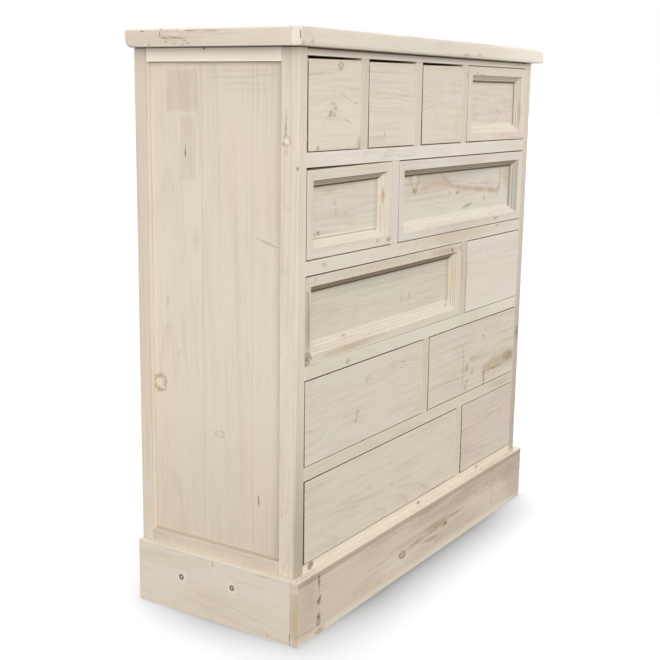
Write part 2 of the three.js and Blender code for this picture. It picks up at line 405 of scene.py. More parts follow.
def mark_shares(graph, mark, distance, streaks):
    """How much of its colour a mark gives, from 0 to 1."""
    if mark.kind == "knot":
        core = graph.fade(distance, 0.2, 0.8)
        rim = graph.between(distance, 0.55, 0.85) * graph.fade(distance, 0.9, 1.3)
        return (core * 0.6 + rim * 0.7) * (streaks * 0.6 + 0.4)
    if mark.kind == "ring":
        return graph.between(distance, 0.55, 0.8) * graph.fade(distance, 0.95, 1.3) * streaks
    if mark.kind == "crack":
        return graph.fade(distance, 0.5, 1.1)
    if mark.kind == "plug":
        return graph.between(distance, 0.15, 0.5) * graph.fade(distance, 0.8, 1.15)
    if mark.kind == "halo":
        return graph.between(distance, 0.5, 0.65) * graph.fade(distance, 0.8, 1.1)
    if mark.kind == "smear":
        return graph.fade(distance, 0.2, 1.2) * 0.8
    if mark.kind == "shade":
        return graph.fade(distance, 0.0, 1.0)
    if mark.kind == "brushed":
        return graph.fade(distance, 0.9, 1.06) * streaks
    return graph.fade(distance, 0.3, 1.15) * streaks


# A line of grime, chalk, painted shade or painted highlight where the wood lies within reach of a plane.
# normal is a unit vector, and the plane is at place along it. broken is how much of the line is missing,
# from
# 0 to 1. behind is how far back from the drawers' face it goes, or 0 for a line that goes all the way.
Seam = namedtuple("Seam", "normal place reach colour strength broken behind", defaults=(0, 0))
NORMALS = {"x": Vector((1, 0, 0)), "y": Vector((0, 1, 0)), "z": Vector((0, 0, 1))}


def seam(axis, place, reach, colour, strength, broken=0):
    return Seam(NORMALS[axis], place, reach * MM, colour, strength, broken)


def seam_between(start, end, reach, colour, strength, broken=0):
    """A seam on the front along the line between two (x, z) places."""
    along = Vector((end[0] - start[0], 0, end[1] - start[1])).normalized()
    normal = Vector((along.z, 0, -along.x))
    place = normal.dot(Vector((start[0], 0, start[1])))
    return Seam(normal, place, reach * MM, colour, strength, broken)


# How strongly a finish shows the growth rings' lines, the fibre, brush marks, changes of hue and worn
# edges, and the rings' width, the roughness and the relief
Coat = namedtuple("Coat", "lines fibre brush hue worn ring_width roughness relief")
LIMED = Coat(
    lines=0.42, fibre=0.8, brush=1.0, hue=0.3, worn=0.7,
    ring_width=(5 * MM, 9 * MM), roughness=0.66, relief=1.0 * MM
)
LIVELY = LIMED._replace(lines=0.7, fibre=1.2, brush=1.6)
CALM = LIMED._replace(lines=0.15, fibre=0.5, brush=0.5)
BARE = Coat(
    lines=0.85, fibre=0.6, brush=0.25, hue=0.5, worn=0.2,
    ring_width=(4 * MM, 7 * MM), roughness=0.58, relief=0.7 * MM
)


def wood(name, board, coat, pale, deep, marks=(), seams=(), edges=AXES):
    """A board's material. pale is the lime or early wood, deep is the wood where it shows."""
    graph = Graph(bpy.data.materials.new(name))
    dice = random.Random(board.seed)
    place = graph.node("TexCoord", output="Object")
    wobble_colour = graph.cloud(place, RAGGED_BLOTS, shift_of(dice), 3, 0.65, "Color")
    wobble = graph.vector("MULTIPLY_ADD", wobble_colour, (1.7,) * 3, (-0.85,) * 3)
    distances = [mark_distance(graph, place, mark, wobble) for mark in marks]
    humps = [
        graph.fade(distance, 0.0, KNOT_REACH) * KNOT_HUMP
        for mark, distance in zip(marks, distances)
        if mark.kind in BENDING
    ]
    lines = rings(graph, place, board, dice, humps, coat.ring_width)
    fibre = graph.cloud(place, lengths_along(board, *FIBRE_BLOTS), shift_of(dice), 3, 0.6)
    brush = graph.cloud(place, lengths_along(board, *BRUSH_BLOTS), shift_of(dice), 3, 0.55)
    patch = graph.cloud(place, lengths_along(board, *PATCH_BLOTS), shift_of(dice), 2, 0.5)
    hue = graph.cloud(place, lengths_along(board, *HUE_BLOTS), shift_of(dice), 1, 0.5)

    shows = graph.between(patch, 0.3, 0.7)
    amount = lines * (shows * 0.7 + 0.3) * coat.lines
    amount = amount + (fibre - 0.5) * coat.fibre + (brush - 0.5) * coat.brush + (patch - 0.5) * 0.55 + 0.04
    warm = scaled(pale, 1.0 + 0.035 * coat.hue, 0.985, 1.0 - 0.02 * coat.hue)
    cool = scaled(pale, 1.0 - 0.03 * coat.hue, 1.0, 1.0 - 0.045 * coat.hue)
    colour = graph.mix(graph.between(hue, 0.34, 0.66), warm, cool)
    colour = graph.mix(amount, colour, deep)
    chalk = graph.between(brush * 0.6 + fibre * 0.4, 0.52, 0.7) * 0.5
    colour = graph.mix(chalk * coat.worn, colour, scaled(pale, 1.1, 1.1, 1.1))

    edge = edge_distance(graph, place, board, edges)
    ragged = edge + (brush - 0.5) * EDGE_WANDER
    bright = graph.fade(ragged, EDGE_START, BRIGHT_WIDTH) * coat.worn
    colour = graph.mix(bright, colour, scaled(pale, 1.13, 1.13, 1.12))
    rubbed = graph.fade(edge, EDGE_START, RUBBED_WIDTH) * graph.between(patch, 0.55, 0.68)
    colour = graph.mix(rubbed * 0.45, colour, deep)

    for line in seams:
        away = abs(graph.vector("DOT_PRODUCT", place, tuple(line.normal), output=1) - line.place)
        share = graph.fade(away, line.reach * 0.35, line.reach) * line.strength
        if line.broken:
            breaks = graph.cloud(place, BREAK_BLOTS, shift_of(dice), 3, 0.7)
            share = share * graph.between(breaks, line.broken * 0.5, line.broken * 0.5 + 0.14)
        if line.behind:
            depth = graph.parts(place)[1] - FACE_Y
            share = share * graph.fade(depth, line.behind * 0.3, line.behind)
        colour = graph.mix(share, colour, line.colour)
    streaks = graph.between(fibre * 0.5 + brush * 0.5, 0.3, 0.62) * 0.6 + 0.4
    dents = 0
    for mark, distance in zip(marks, distances):
        if mark.kind == "figure":
            continue
        share = mark_shares(graph, mark, distance, streaks)
        colour = graph.mix(share * mark.strength, colour, mark.colour)
        if mark.kind == "crack":
            dents = dents + share

    height = (fibre - 0.5) * 0.16 + (brush - 0.5) * 0.3 - lines * 0.1
    if marks:
        height = height - dents * 0.8
    bump = graph.node("Bump", None, {"Strength": 1.0, "Distance": coat.relief, "Height": height}, "Normal")
    roughness = coat.roughness + (fibre - 0.5) * 0.25 + lines * 0.06
    sockets = {"Base Color": colour, "Roughness": roughness, "Normal": bump, "Specular IOR Level": 0.35}
    return graph.finish(graph.node("BsdfPrincipled", None, sockets))


def limed(name, board, pale, marks=(), seams=(), edges=AXES, coat=LIMED):
    return wood(name, board, coat, pale, scaled(pale, 0.72, 0.65, 0.56), marks, seams, edges)


def bare(name, board, marks=()):
    return wood(name, board, BARE, tone(222, 202, 170), tone(188, 154, 114), marks)


# Making pieces

CARCASS = "carcass"
SHARP_ANGLE = math.radians(28)
EASED_ANGLE = math.radians(35)
EASED_SEGMENTS = 3
WELD_REACH = 0.01 * MM

# Where the grid lines lie in a rounded edge, as shares of its reach, and that reach as a share of the radius
ROUND_SHARES = (0, 0.2, 0.45, 0.72, 1)
REACH_SHARE = 1.6
GRID_PACE = 30 * MM

# Hand planing and wear leave the edges and faces uneven over these lengths, and the faces by this much
LONG_WEAR = 55 * MM
SHORT_WEAR = 14 * MM
FACE_WEAR = 130 * MM
FACE_WEAR_DEPTH = 0.12 * MM


def new_piece(name, points, faces, material, body, slot, *nodes):
    """A closed piece in place, with smooth shading, that stands for CAD nodes."""
    mesh = bpy.data.meshes.new(name)
    mesh.from_pydata([tuple(point) for point in points], [], faces)
    shape = bmesh.new()
    shape.from_mesh(mesh)
    bmesh.ops.recalc_face_normals(shape, faces=shape.faces)
    shape.to_mesh(mesh)
    shape.free()
    placed(name, mesh, material, body, slot, *nodes)


def placed(name, mesh, material, body, slot, *nodes):
    """Puts a mesh in the scene, where it rides a body and stands for CAD nodes."""
    mesh.polygons.foreach_set("use_smooth", [True] * len(mesh.polygons))
    mesh.set_sharp_from_angle(angle=SHARP_ANGLE)
    mesh.materials.append(material)
    made = bpy.data.objects.new(name, mesh)
    bpy.context.scene.collection.objects.link(made)
    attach(made, body)
    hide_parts(*nodes)


def grid_places(low, high, edge, pace):
    """Grid lines from low to high, closer together where an edge is rounded."""
    inner = [low + edge * share for share in ROUND_SHARES]
    flat = high - low - 2 * edge
    count = max(1, round(flat / pace))
    middle = [low + edge + flat * i / count for i in range(1, count)]
    outer = [low + high - place for place in reversed(inner)]
    return inner + middle + outer


def block_skin(xs, ys, zs):
    """The points and four-sided faces of a block's closed skin on these grid lines."""
    lines = (xs, ys, zs)
    last = [len(places) - 1 for places in lines]
    index = {}
    points = []
    faces = []

    def point(key):
        if key not in index:
            index[key] = len(points)
            points.append(Vector(lines[axis][key[axis]] for axis in range(3)))
        return index[key]

    for axis in range(3):
        u, v = (axis + 1) % 3, (axis + 2) % 3
        for end in (0, last[axis]):
            for i in range(last[u]):
                for j in range(last[v]):
                    corners = []
                    for du, dv in ((0, 0), (1, 0), (1, 1), (0, 1)):
                        key = [0, 0, 0]
                        key[axis], key[u], key[v] = end, i + du, j + dv
                        corners.append(point(tuple(key)))
                    faces.append(corners if end else corners[::-1])
    return points, faces


def eased(point, low, high, radius):
    """Where a point of a block's skin lies once the block's edges are rounded."""
    core = Vector(min(max(point[i], low[i] + radius), high[i] - radius) for i in range(3))
    return core + (point - core).normalized() * radius


def worn_radius(point, radius):
    """An edge's radius here, which hand planing and wear leave uneven."""
    return radius * (1 + 0.35 * noise.noise(point / LONG_WEAR) + 0.2 * noise.noise(point / SHORT_WEAR))


def worn_block(low, high, radius, pace=GRID_PACE):
    """The skin of a board with rounded, slightly uneven edges and faces, inside its box."""
    reach = radius * REACH_SHARE
    points, faces = block_skin(*(grid_places(low[i], high[i], reach, pace) for i in range(3)))
    shaped = []
    for point in points:
        place = eased(point, low, high, worn_radius(point, radius))
        drawn_in = (low + high) / 2 - place
        sway = noise.noise(place / FACE_WEAR) * 0.5 + 0.5
        wear = (math.copysign(min(abs(part), FACE_WEAR_DEPTH) * sway, part) for part in drawn_in)
        shaped.append(place + Vector(wear))
    return shaped, faces


def ease_edges(node, width):
    """Rounds a CAD node's edges with modifiers, which leave its mesh as it is."""
    piece = frame["nodes"][node]
    weld = piece.modifiers.new("joined corners", "WELD")
    weld.merge_threshold = WELD_REACH
    bevel = piece.modifiers.new("eased edges", "BEVEL")
    bevel.width = width
    bevel.segments = EASED_SEGMENTS
    bevel.limit_method = "ANGLE"
    bevel.angle_limit = EASED_ANGLE


def dress(node, material, easing):
    """Gives a CAD node its finish, and eased edges of this width in millimetres."""
    piece = frame["nodes"][node]
    for index in range(len(piece.material_slots)):
        piece.material_slots[index].material = material
    ease_edges(node, easing * MM)


def dress_limed(node, board, easing, pale, marks=(), seams=(), edges=AXES, coat=LIMED):
    dress(node, limed(f"{node}_limed", board, pale, marks, seams, edges, coat), easing)


def dress_bare(node, along, face, seed, easing):
    dress(node, bare(f"{node}_bare", node_board(node, along, face, seed)), easing)


# Top: a front lip, a strip along each side and glued boards between them, all with one rounded edge

STRIP_WIDTH = 46 * MM
STRIP_X = SLAB_HIGH.x - STRIP_WIDTH
TOP_GRID_PACE = 22 * MM
TOP_ROUND_REACH = 12 * MM

# How far behind the lip the two joints between the glued boards lie, and half the width of each joint
BOARD_JOINTS = (128 * MM, 247 * MM)
HALF_JOINT = 0.25 * MM

# The rounding of the top's edges, and how much wear adds above, above at the right end, below at the rear
# left, and at the front right corner
EDGE_ROUND = 2.6 * MM
UPPER_WEAR = 1.6 * MM
RIGHT_WEAR = 5 * MM
REAR_WEAR = 6.5 * MM
REAR_WEAR_REACH = 40 * MM
CORNER_WEAR = 4 * MM
CORNER_WEAR_REACH = 30 * MM
MOST_ROUND = 11 * MM

# How far the upper face is worn down, over what length, and from what height above the top's underside
SAG = 0.25 * MM
SAG_LENGTH = 160 * MM
SAG_FROM = 20 * MM


def slab_radius(point):
    """The top's edges are fairly sharp on the left and below, and worn rounder above on the right."""
    up = (point.z - SLAB_LOW.z) / (SLAB_HIGH.z - SLAB_LOW.z)
    right = (point.x - SLAB_LOW.x) / (SLAB_HIGH.x - SLAB_LOW.x)
    upper = max(0, (up - 0.55) / 0.45)
    lower = max(0, (0.5 - up) / 0.5)
    rear = max(0, (point.y - SLAB_HIGH.y + REAR_WEAR_REACH) / REAR_WEAR_REACH)
    front = max(0, 1 - (point.y - SLAB_LOW.y) / CORNER_WEAR_REACH)
    above = upper * (UPPER_WEAR + RIGHT_WEAR * right ** 3)
    below = lower * rear * REAR_WEAR * (1 - right)
    corner = upper * front * CORNER_WEAR * right ** 12
    return min(EDGE_ROUND + above + below + corner, MOST_ROUND)


def slab_shape():
    """The whole top as one skin."""
    low, high = SLAB_LOW, SLAB_HIGH
    grid = (grid_places(low[i], high[i], TOP_ROUND_REACH, TOP_GRID_PACE) for i in range(3))
    points, faces = block_skin(*grid)
    mesh = bpy.data.meshes.new("slab")
    shaped = []
    for point in points:
        place = eased(point, low, high, worn_radius(point, slab_radius(point)))
        if place.z > low.z + SAG_FROM:
            place.z -= SAG * (noise.noise(place / SAG_LENGTH) + 1)
        shaped.append(tuple(place))
    mesh.from_pydata(shaped, [], faces)
    return mesh


def slab_part(mesh, cuts):
    """The part of the top on the inner side of some planes, each a place and a normal that points out."""
    part = bmesh.new()
    part.from_mesh(mesh)
    for place, normal in cuts:
        everything = list(part.verts) + list(part.edges) + list(part.faces)
        cut = bmesh.ops.bisect_plane(
            part, geom=everything, plane_co=place, plane_no=normal, clear_outer=True
        )
        rim = [item for item in cut["geom_cut"] if isinstance(item, bmesh.types.BMEdge)]
        bmesh.ops.holes_fill(part, edges=rim)
    bmesh.ops.recalc_face_normals(part, faces=part.faces)
    made = bpy.data.meshes.new("slab part")
    part.to_mesh(made)
    part.free()
    return made


# A dark line of painted shade and grime along the top's underside, where it sits on the carcass
TOP_UNDERSIDE_SHADE_AND_GRIME = seam("z", CAP_Z, 1.0, SHADE_AND_GRIME, 0.8)
LIP_JOINT = seam("y", LIP_Y, 0.9, DARK, 0.2)
LIP_MARKS = (
    Mark("smear", (SLAB_LOW.x, -0.186, 1.118), (0.004, 0.02, 0.03), CHALK, 0.8),
    Mark("smear", (SLAB_LOW.x + 0.02, -0.1975, 1.121), (0.02, 0.004, 0.01), GREY, 0.2),
    Mark("crack", (SLAB_LOW.x, -0.1965, 1.119), (0.0016, 0.0014, 0.015), DARK, 0.8),
    Mark("stain", (SLAB_LOW.x + 0.008, -0.1975, 1.105), (0.005, 0.004, 0.005), GREY, 0.5),
    Mark("stain", (SLAB_LOW.x + 0.036, -0.1975, 1.109), (0.007, 0.004, 0.008), GREY, 0.4),
    Mark("stain", (0.1, -0.1975, 1.106), (0.02, 0.004, 0.004), GREY, 0.5),
    Mark("stain", (0.168, -0.1975, 1.107), (0.012, 0.004, 0.006), GREY, 0.35),
    Mark("shade", (SLAB_HIGH.x, 0, 0), (0.42, 0, 0), CHALK, 0.7),
)
LEFT_END_MARKS = on_side(
    ("smear", 110, 1115, 140, 20, PINK, 0.42),
    ("stain", 153, 1128, 7, 1.7, DARK, 0.7),
    ("stain", 110, 1131, 4, 1.5, DARK, 0.6),
    ("stain", 40, 1127.5, 24, 1.6, BROWN, 0.9),
    ("stain", -4, 1127.3, 26, 1.5, BROWN, 0.7),
    ("smear", 60, 1129.5, 9, 3, CHALK, 0.6),
    ("smear", 82, 1116, 34, 4, BROWN, 0.4),
    ("crack", 112, 1122, 1.4, 6, DARK, 0.6),
    ("crack", 100, 1115.6, 10, 0.9, DARK, 0.5),
    ("crack", 79, 1116, 11, 0.9, DARK, 0.5),
    ("crack", 63, 1115, 6, 1.1, DARK, 0.45),
    ("crack", 55, 1110.5, 4, 1.6, DARK, 0.45),
    ("crack", 46, 1106, 4, 1.4, DARK, 0.4),
    ("crack", 97, 1109, 3.5, 1.2, DARK, 0.6),
    ("smear", 78, 1121, 16, 4, CHALK, 0.35),
    ("stain", 138, 1103.5, 6, 1.6, DARK, 0.6),
    ("stain", 76, 1105, 5, 1.3, DARK, 0.6),
    ("stain", 60, 1103.6, 9, 1.3, BROWN, 0.7),
)
UPPER_FACE_MARKS = (
    Mark("knot", (0.21, -0.09, 0), (0.013, 0.009, 0), BROWN, 0.6),
    Mark("knot", (-0.33, 0.03, 0), (0.016, 0.011, 0), GREY, 0.6),
    Mark("knot", (0.38, 0.12, 0), (0.011, 0.009, 0), BROWN, 0.6),
    Mark("stain", (-0.1, 0.15, 0), (0.05, 0.012, 0), OLIVE, 0.45),
)


def dress_lip(slab):
    board = Board("x", "y", SLAB_LOW, Vector((SLAB_HIGH.x, LIP_Y, SLAB_HIGH.z)), 11)
    seams = (TOP_UNDERSIDE_SHADE_AND_GRIME._replace(strength=0.45), LIP_JOINT, seam("z", CAP_Z + 3 * MM, 4.0, OLIVE, 0.16))
    finish = limed("lip_limed", board, tone(229, 219, 202), LIP_MARKS, seams, "y")
    part = slab_part(slab, [((0, LIP_Y - HALF_JOINT, 0), (0, 1, 0))])
    placed("top_lip", part, finish, CARCASS, "limed_pine", "top_front_lip")


def dress_end_strips(slab):
    seams = (
        TOP_UNDERSIDE_SHADE_AND_GRIME,
        LIP_JOINT,
        seam("z", SLAB_HIGH.z - 1 * MM, 3.6, CHALK, 0.4),
        seam("z", CAP_Z + 3 * MM, 1.8, CREAM, 0.5),
    )
    streaky = LIMED._replace(lines=0.6, brush=1.4, fibre=1.0)
    behind_lip = ((0, LIP_Y + HALF_JOINT, 0), (0, -1, 0))
    for word, side in SIDES:
        outer_x = side * SLAB_HIGH.x
        inner_x = side * STRIP_X
        inner = ((inner_x + side * HALF_JOINT, 0, 0), (-side, 0, 0))
        strip_low = Vector((min(outer_x, inner_x), LIP_Y, CAP_Z))
        strip_high = Vector((max(outer_x, inner_x), SLAB_HIGH.y, SLAB_HIGH.z))
        board = Board("y", "z", strip_low, strip_high, 20 + side)
        marks = LEFT_END_MARKS if word == "left" else ()
        finish = limed(f"top_strip_{word}_limed", board, tone(228, 215, 197), marks, seams, AXES, streaky)
        part = slab_part(slab, [behind_lip, inner])
        placed(f"top_strip_{word}", part, finish, CARCASS, "limed_pine", "top_board")


def dress_glued_boards(slab):
    joints = [LIP_Y, *(LIP_Y + behind for behind in BOARD_JOINTS), SLAB_HIGH.y]
    tones = (tone(226, 215, 199), tone(222, 210, 192), tone(228, 216, 198))
    for number, colour in enumerate(tones):
        start, end = joints[number], joints[number + 1]
        cuts = [
            ((0, start + HALF_JOINT, 0), (0, -1, 0)),
            ((-STRIP_X + HALF_JOINT, 0, 0), (-1, 0, 0)),
            ((STRIP_X - HALF_JOINT, 0, 0), (1, 0, 0)),
        ]
        if number + 1 < len(tones):
            cuts.append(((0, end - HALF_JOINT, 0), (0, 1, 0)))
        board_low = Vector((-STRIP_X, start, CAP_Z))
        board_high = Vector((STRIP_X, end, SLAB_HIGH.z))
        board = Board("x", "z", board_low, board_high, 30 + number)
        marks = [mark for mark in UPPER_FACE_MARKS if start < mark.middle[1] < end]
        seams = [TOP_UNDERSIDE_SHADE_AND_GRIME] + [seam("y", place, 0.8, DARK, 0.4) for place in joints[1:3]]
        finish = limed(f"top_board_{number + 1}_limed", board, colour, marks, seams)
        part = slab_part(slab, cuts)
        placed(f"top_board_{number + 1}_worn", part, finish, CARCASS, "limed_pine", "top_board")


def dress_top():
    slab = slab_shape()
    dress_lip(slab)
    dress_end_strips(slab)
    dress_glued_boards(slab)


# Carcass

# Painted shade under the top: on the first rail a soft painted shadow of the overhang and a near-black line
# of painted shade and grime, and on the sides a thinner line of painted shade and grime
SHADE_UNDER_TOP_ON_FRONT = (seam("z", CAP_Z, 11.0, SHADE, 0.26), seam("z", CAP_Z, 4.4, tone(40, 26, 4), 0.92))
SHADE_UNDER_TOP_ON_SIDES = (seam("z", CAP_Z, 2.2, tone(70, 58, 40), 0.8),)
DIAGONAL = 0.7071

# Lines along the front posts, from the middle of the front
POST_EDGE_LINE = 496.5 * MM
POST_GROOVE = 488 * MM

POST_COAT = LIMED._replace(worn=0.4, brush=1.5, lines=0.6)
LEFT_POST_MARKS = on_side(
    ("smear", -152, 940, 7, 8, CHALK, 0.6),
    ("ring", -152, 940, 8, 10, BROWN, 0.5),
    ("stain", -146, 933, 3, 5, BROWN, 0.8),
    ("stain", -151, 974, 2.6, 24, OLIVE, 0.8),
    ("stain", -150, 959, 2.0, 10, BROWN, 0.9),
    ("smear", -152, 921, 5, 9, BROWN, 0.4),
    ("stain", -139.3, 560, 2.6, 7, DARK, 0.7),
) + (
    Mark("crack", (LEFT_X, -0.1755, 0.892), (0.002, 0.002, 0.004), DARK, 0.8),
    # Painted shade: the post darker towards the floor, most on its front face
    Mark("shade", (0, FACE_Y, PLINTH_Z), (0, 7 * MM, 0.45), tone(120, 104, 82), 0.45),
    Mark("shade", (0, 0, PLINTH_Z), (0, 0, 0.5), tone(150, 134, 112), 0.12),
)
RIGHT_POST_MARKS = (
    Mark("knot", (0.487, 0, 0.437), (0.010, 0, 0.014), DARK, 0.85),
    Mark("stain", (0.488, 0, 0.437), (0.005, 0, 0.007), BLACK, 0.85),
    # Painted shade: the post darker towards the floor
    Mark("shade", (0, 0, PLINTH_Z), (0, 0, 1.0), tone(140, 118, 108), 0.5),
)

# Joints between the boards of a side panel
REAR_PANEL_JOINT = 46 * MM
FRONT_PANEL_JOINT = -70 * MM


def dress_front_post(word, side, pale, marks, seed):
    post = f"front_post_{word}"
    seams = SHADE_UNDER_TOP_ON_SIDES + (
        seam("x", side * POST_EDGE_LINE, 0.9, GREY, 0.25),
        seam("x", side * POST_GROOVE, 1.3, GREY, 0.22),
    )
    dress_limed(post, node_board(post, "z", "x", seed), 1.4, pale, marks, seams, "xy", POST_COAT)


def dress_rear_post(word, side, seed):
    post = f"rear_post_{word}"
    arris = Vector((-side * DIAGONAL, -DIAGONAL, 0))
    arris_place = arris.dot(Vector((LEFT_X * -side, REAR_POST_FACE_Y, 0)))
    seams = SHADE_UNDER_TOP_ON_SIDES + (
        # Painted highlight on the inner face that looks forward into the side's recess
        seam("y", REAR_POST_FACE_Y, 1.0, CHALK, 0.2),
        Seam(arris, arris_place, 0.8 * MM, BROWN, 0.7, 0.35),
    )
    board = node_board(post, "z", "x", seed)
    dress_limed(post, board, 1.2, tone(220, 206, 188), (), seams, "xy", POST_COAT)


def dress_side_rails(word, seed):
    rail = f"side_top_rail_{word}"
    nick = on_side(("crack", 29.6, 1098, 2.4, 3, DARK, 0.8))
    seams = (
        SHADE_UNDER_TOP_ON_SIDES[0]._replace(reach=1.8 * MM),
        seam("y", REAR_POST_FACE_Y, 1.2, tone(110, 98, 66), 0.7),
        seam("z", TOP_RAIL_Z + 1 * MM, 2.0, CHALK, 0.1),
    )
    board = node_board(rail, "y", "x", seed)
    # A paler tone than the other rails: painted light that makes up for the top's shadow on this rail
    dress_limed(rail, board, 0.6, tone(254, 243, 226), nick, seams, "xz", CALM)
    rail = f"side_bottom_rail_{word}"
    dress_limed(rail, node_board(rail, "y", "x", seed + 1), 0.6, tone(210, 198, 180), edges="xz")


# Painted shade: the side panels darker towards the floor
LOW_SHADE = Mark("shade", (0, 0, PLINTH_Z), (0, 0, 0.42), tone(150, 134, 112), 0.22)
LEFT_PANEL_MARKS = (LOW_SHADE,) + on_side(
    ("brushed", 92, 1023, 38, 38, PINK, 0.5),
    ("brushed", 79, 918, 18, 59, PINK, 0.4),
    ("smear", -40, 1059, 84, 2.4, OLIVE, 0.3),
    ("smear", -30, 1048, 74, 2.3, OLIVE, 0.3),
    ("smear", -50, 1037, 80, 2.2, OLIVE, 0.25),
    ("smear", -55, 1026, 66, 2.2, OLIVE, 0.2),
    ("smear", -96, 1052, 40, 2.5, OLIVE, 0.25),
    ("ring", 155, 459, 17, 16, BROWN, 0.75),
    ("smear", 155, 459, 12, 11, CREAM, 0.5),
    ("stain", 153, 444, 14, 4, BROWN, 0.45),
    ("crack", 85.6, 918, 1.4, 9, OLIVE, 0.8),
    ("crack", 85.6, 908, 1.8, 7, DARK, 0.8),
    ("smear", 62, 748, 12, 26, GREY, 0.22),
    ("crack", -84, 262, 1.9, 13, BROWN, 0.95),
    ("stain", 133, 622, 5, 12, TAN, 0.5),
    ("stain", 105, 526, 4, 8, TAN, 0.5),
    ("ring", 7, 378, 10, 6, GREY, 0.4),
    *streak("smear", 3, GREY, 0.6, (-77, 763), (-131, 747)),
)


def dress_side_panel(word, marks, seed):
    """A panel with the joints of the three boards that it is glued up from."""
    panel = f"side_panel_{word}"
    seams = (
        seam("y", REAR_PANEL_JOINT, 2.0, GREY, 0.16),
        seam("y", FRONT_PANEL_JOINT, 2.0, GREY, 0.12),
        # Painted light beside the rear post's lit inner face, then painted shade lines under the top rail
        # and beside the front post
        seam("y", REAR_POST_FACE_Y, 12.0, CHALK, 0.1),
        seam("z", TOP_RAIL_Z, 1.7, tone(104, 92, 62), 0.85),
        seam("y", FRONT_POST_REAR_Y, 1.8, GREY, 0.4),
        seam("z", BOTTOM_RAIL_Z, 1.8, GREY, 0.3),
    )
    board = node_board(panel, "z", "x", seed)
    dress_limed(panel, board, 0.5, tone(228, 216, 198), marks, seams, "")


def dress_sides():
    looks = (
        (tone(229, 217, 198), LEFT_POST_MARKS, 100, LEFT_PANEL_MARKS, 200),
        (tone(226, 212, 195), RIGHT_POST_MARKS, 140, (LOW_SHADE,), 230),
    )
    for (word, side), (pale, post_marks, seed, panel_marks, panel_seed) in zip(SIDES, looks):
        dress_front_post(word, side, pale, post_marks, seed)
        dress_rear_post(word, side, seed + 1)
        dress_side_rails(word, seed + 2)
        dress_side_panel(word, panel_marks, panel_seed)


# How far back from the face the painted shade and grime in the gaps reaches
GAP_SHADE_AND_GRIME_DEPTH = 5.5 * MM
RAIL_TONES = (
    tone(231, 222, 206),
    tone(232, 223, 211),
    tone(226, 217, 201),
    tone(222, 214, 195),
    tone(215, 205, 185),
    tone(226, 216, 197),
)
RAIL_MARKS = {
    2: on_front(
        *streak("stain", 2, OLIVE, 0.35, (278, 897), (307, 903), (339, 905), (380, 900), (418, 901)),
        ("smear", 850, 902, 200, 20, PINK, 0.2),
    ),
    3: on_front(
        ("smear", 89, 714, 12, 7, GREY, 0.45),
        ("stain", 844, 721, 5, 3, BLACK, 0.8),
        ("smear", 640, 718, 330, 22, TAN, 0.5),
    ),
    4: on_front(
        ("stain", 177, 516, 11, 7, GREY, 0.6),
        ("smear", 870, 518, 120, 18, CREAM, 0.35),
    ),
    5: on_front(("smear", 900, 326, 70, 12, OLIVE, 0.5)),
    6: on_front(
        ("stain", 53, 139, 12, 9, tone(78, 64, 34), 1.0),
        ("stain", 486, 135, 8, 4, DARK, 0.85),
        ("stain", 782, 138, 10, 5, tone(130, 118, 90), 0.8),
    ),
}
DIVIDER_TONES = {
    "divider_1_1": tone(217, 206, 189),
    "divider_1_2": tone(220, 208, 194),
    "divider_1_3": tone(221, 211, 196),
    "divider_2_1": tone(222, 213, 198),
    "divider_3_1": tone(209, 195, 176),
    "divider_4_1": tone(212, 201, 181),
    "divider_5_1": tone(212, 201, 183),
}
DIVIDER_MARKS = {
    "divider_1_1": on_front(("smear", 236, 1066, 10, 9, GREY, 0.4)),
    "divider_1_3": on_front(("smear", 656, 1064, 9, 11, OLIVE, 0.6)),
    "divider_2_1": on_front(("stain", 395, 745, 3, 26, BROWN, 0.4)),
    "divider_3_1": on_front(("stain", 662, 640, 3, 60, BROWN, 0.45)),
}


def end_line(axis, place, strength):
    """Painted shade and grime on a board's face that looks into the gap round a drawer."""
    return (seam(axis, place, 0.5, SHADE_AND_GRIME, strength)._replace(behind=GAP_SHADE_AND_GRIME_DEPTH),)


def dress_front_frame():
    for number, colour in enumerate(RAIL_TONES, start=1):
        node = f"front_rail_{number}"
        board = node_board(node, "x", "y", 300 + number)
        # Painted shade and grime on the rails' faces into the drawer gaps; the first rail takes the painted
        # shade under the top instead
        above, below = end_line("z", board.high.z, 0.2), end_line("z", board.low.z, 0.6)
        if number == 1:
            above = SHADE_UNDER_TOP_ON_FRONT
        if number == len(RAIL_TONES):
            below = ()
        dress_limed(node, board, 0.7, colour, RAIL_MARKS.get(number, ()), above + below, "yz")
    for number, (node, colour) in enumerate(DIVIDER_TONES.items()):
        board = node_board(node, "z", "y", 320 + number)
        board = board._replace(high=Vector((board.high.x, FRONT_POST_REAR_Y, board.high.z)))
        seams = end_line("x", board.high.x, 0.6)
        dress_limed(node, board, 0.7, colour, DIVIDER_MARKS.get(node, ()), seams, "xy")


# Plinth

NAIL_BROWN = tone(104, 82, 52)
END_BROWN = tone(196, 172, 138)
NAIL_PALE = tone(136, 110, 82)
EARTH = tone(146, 122, 96)

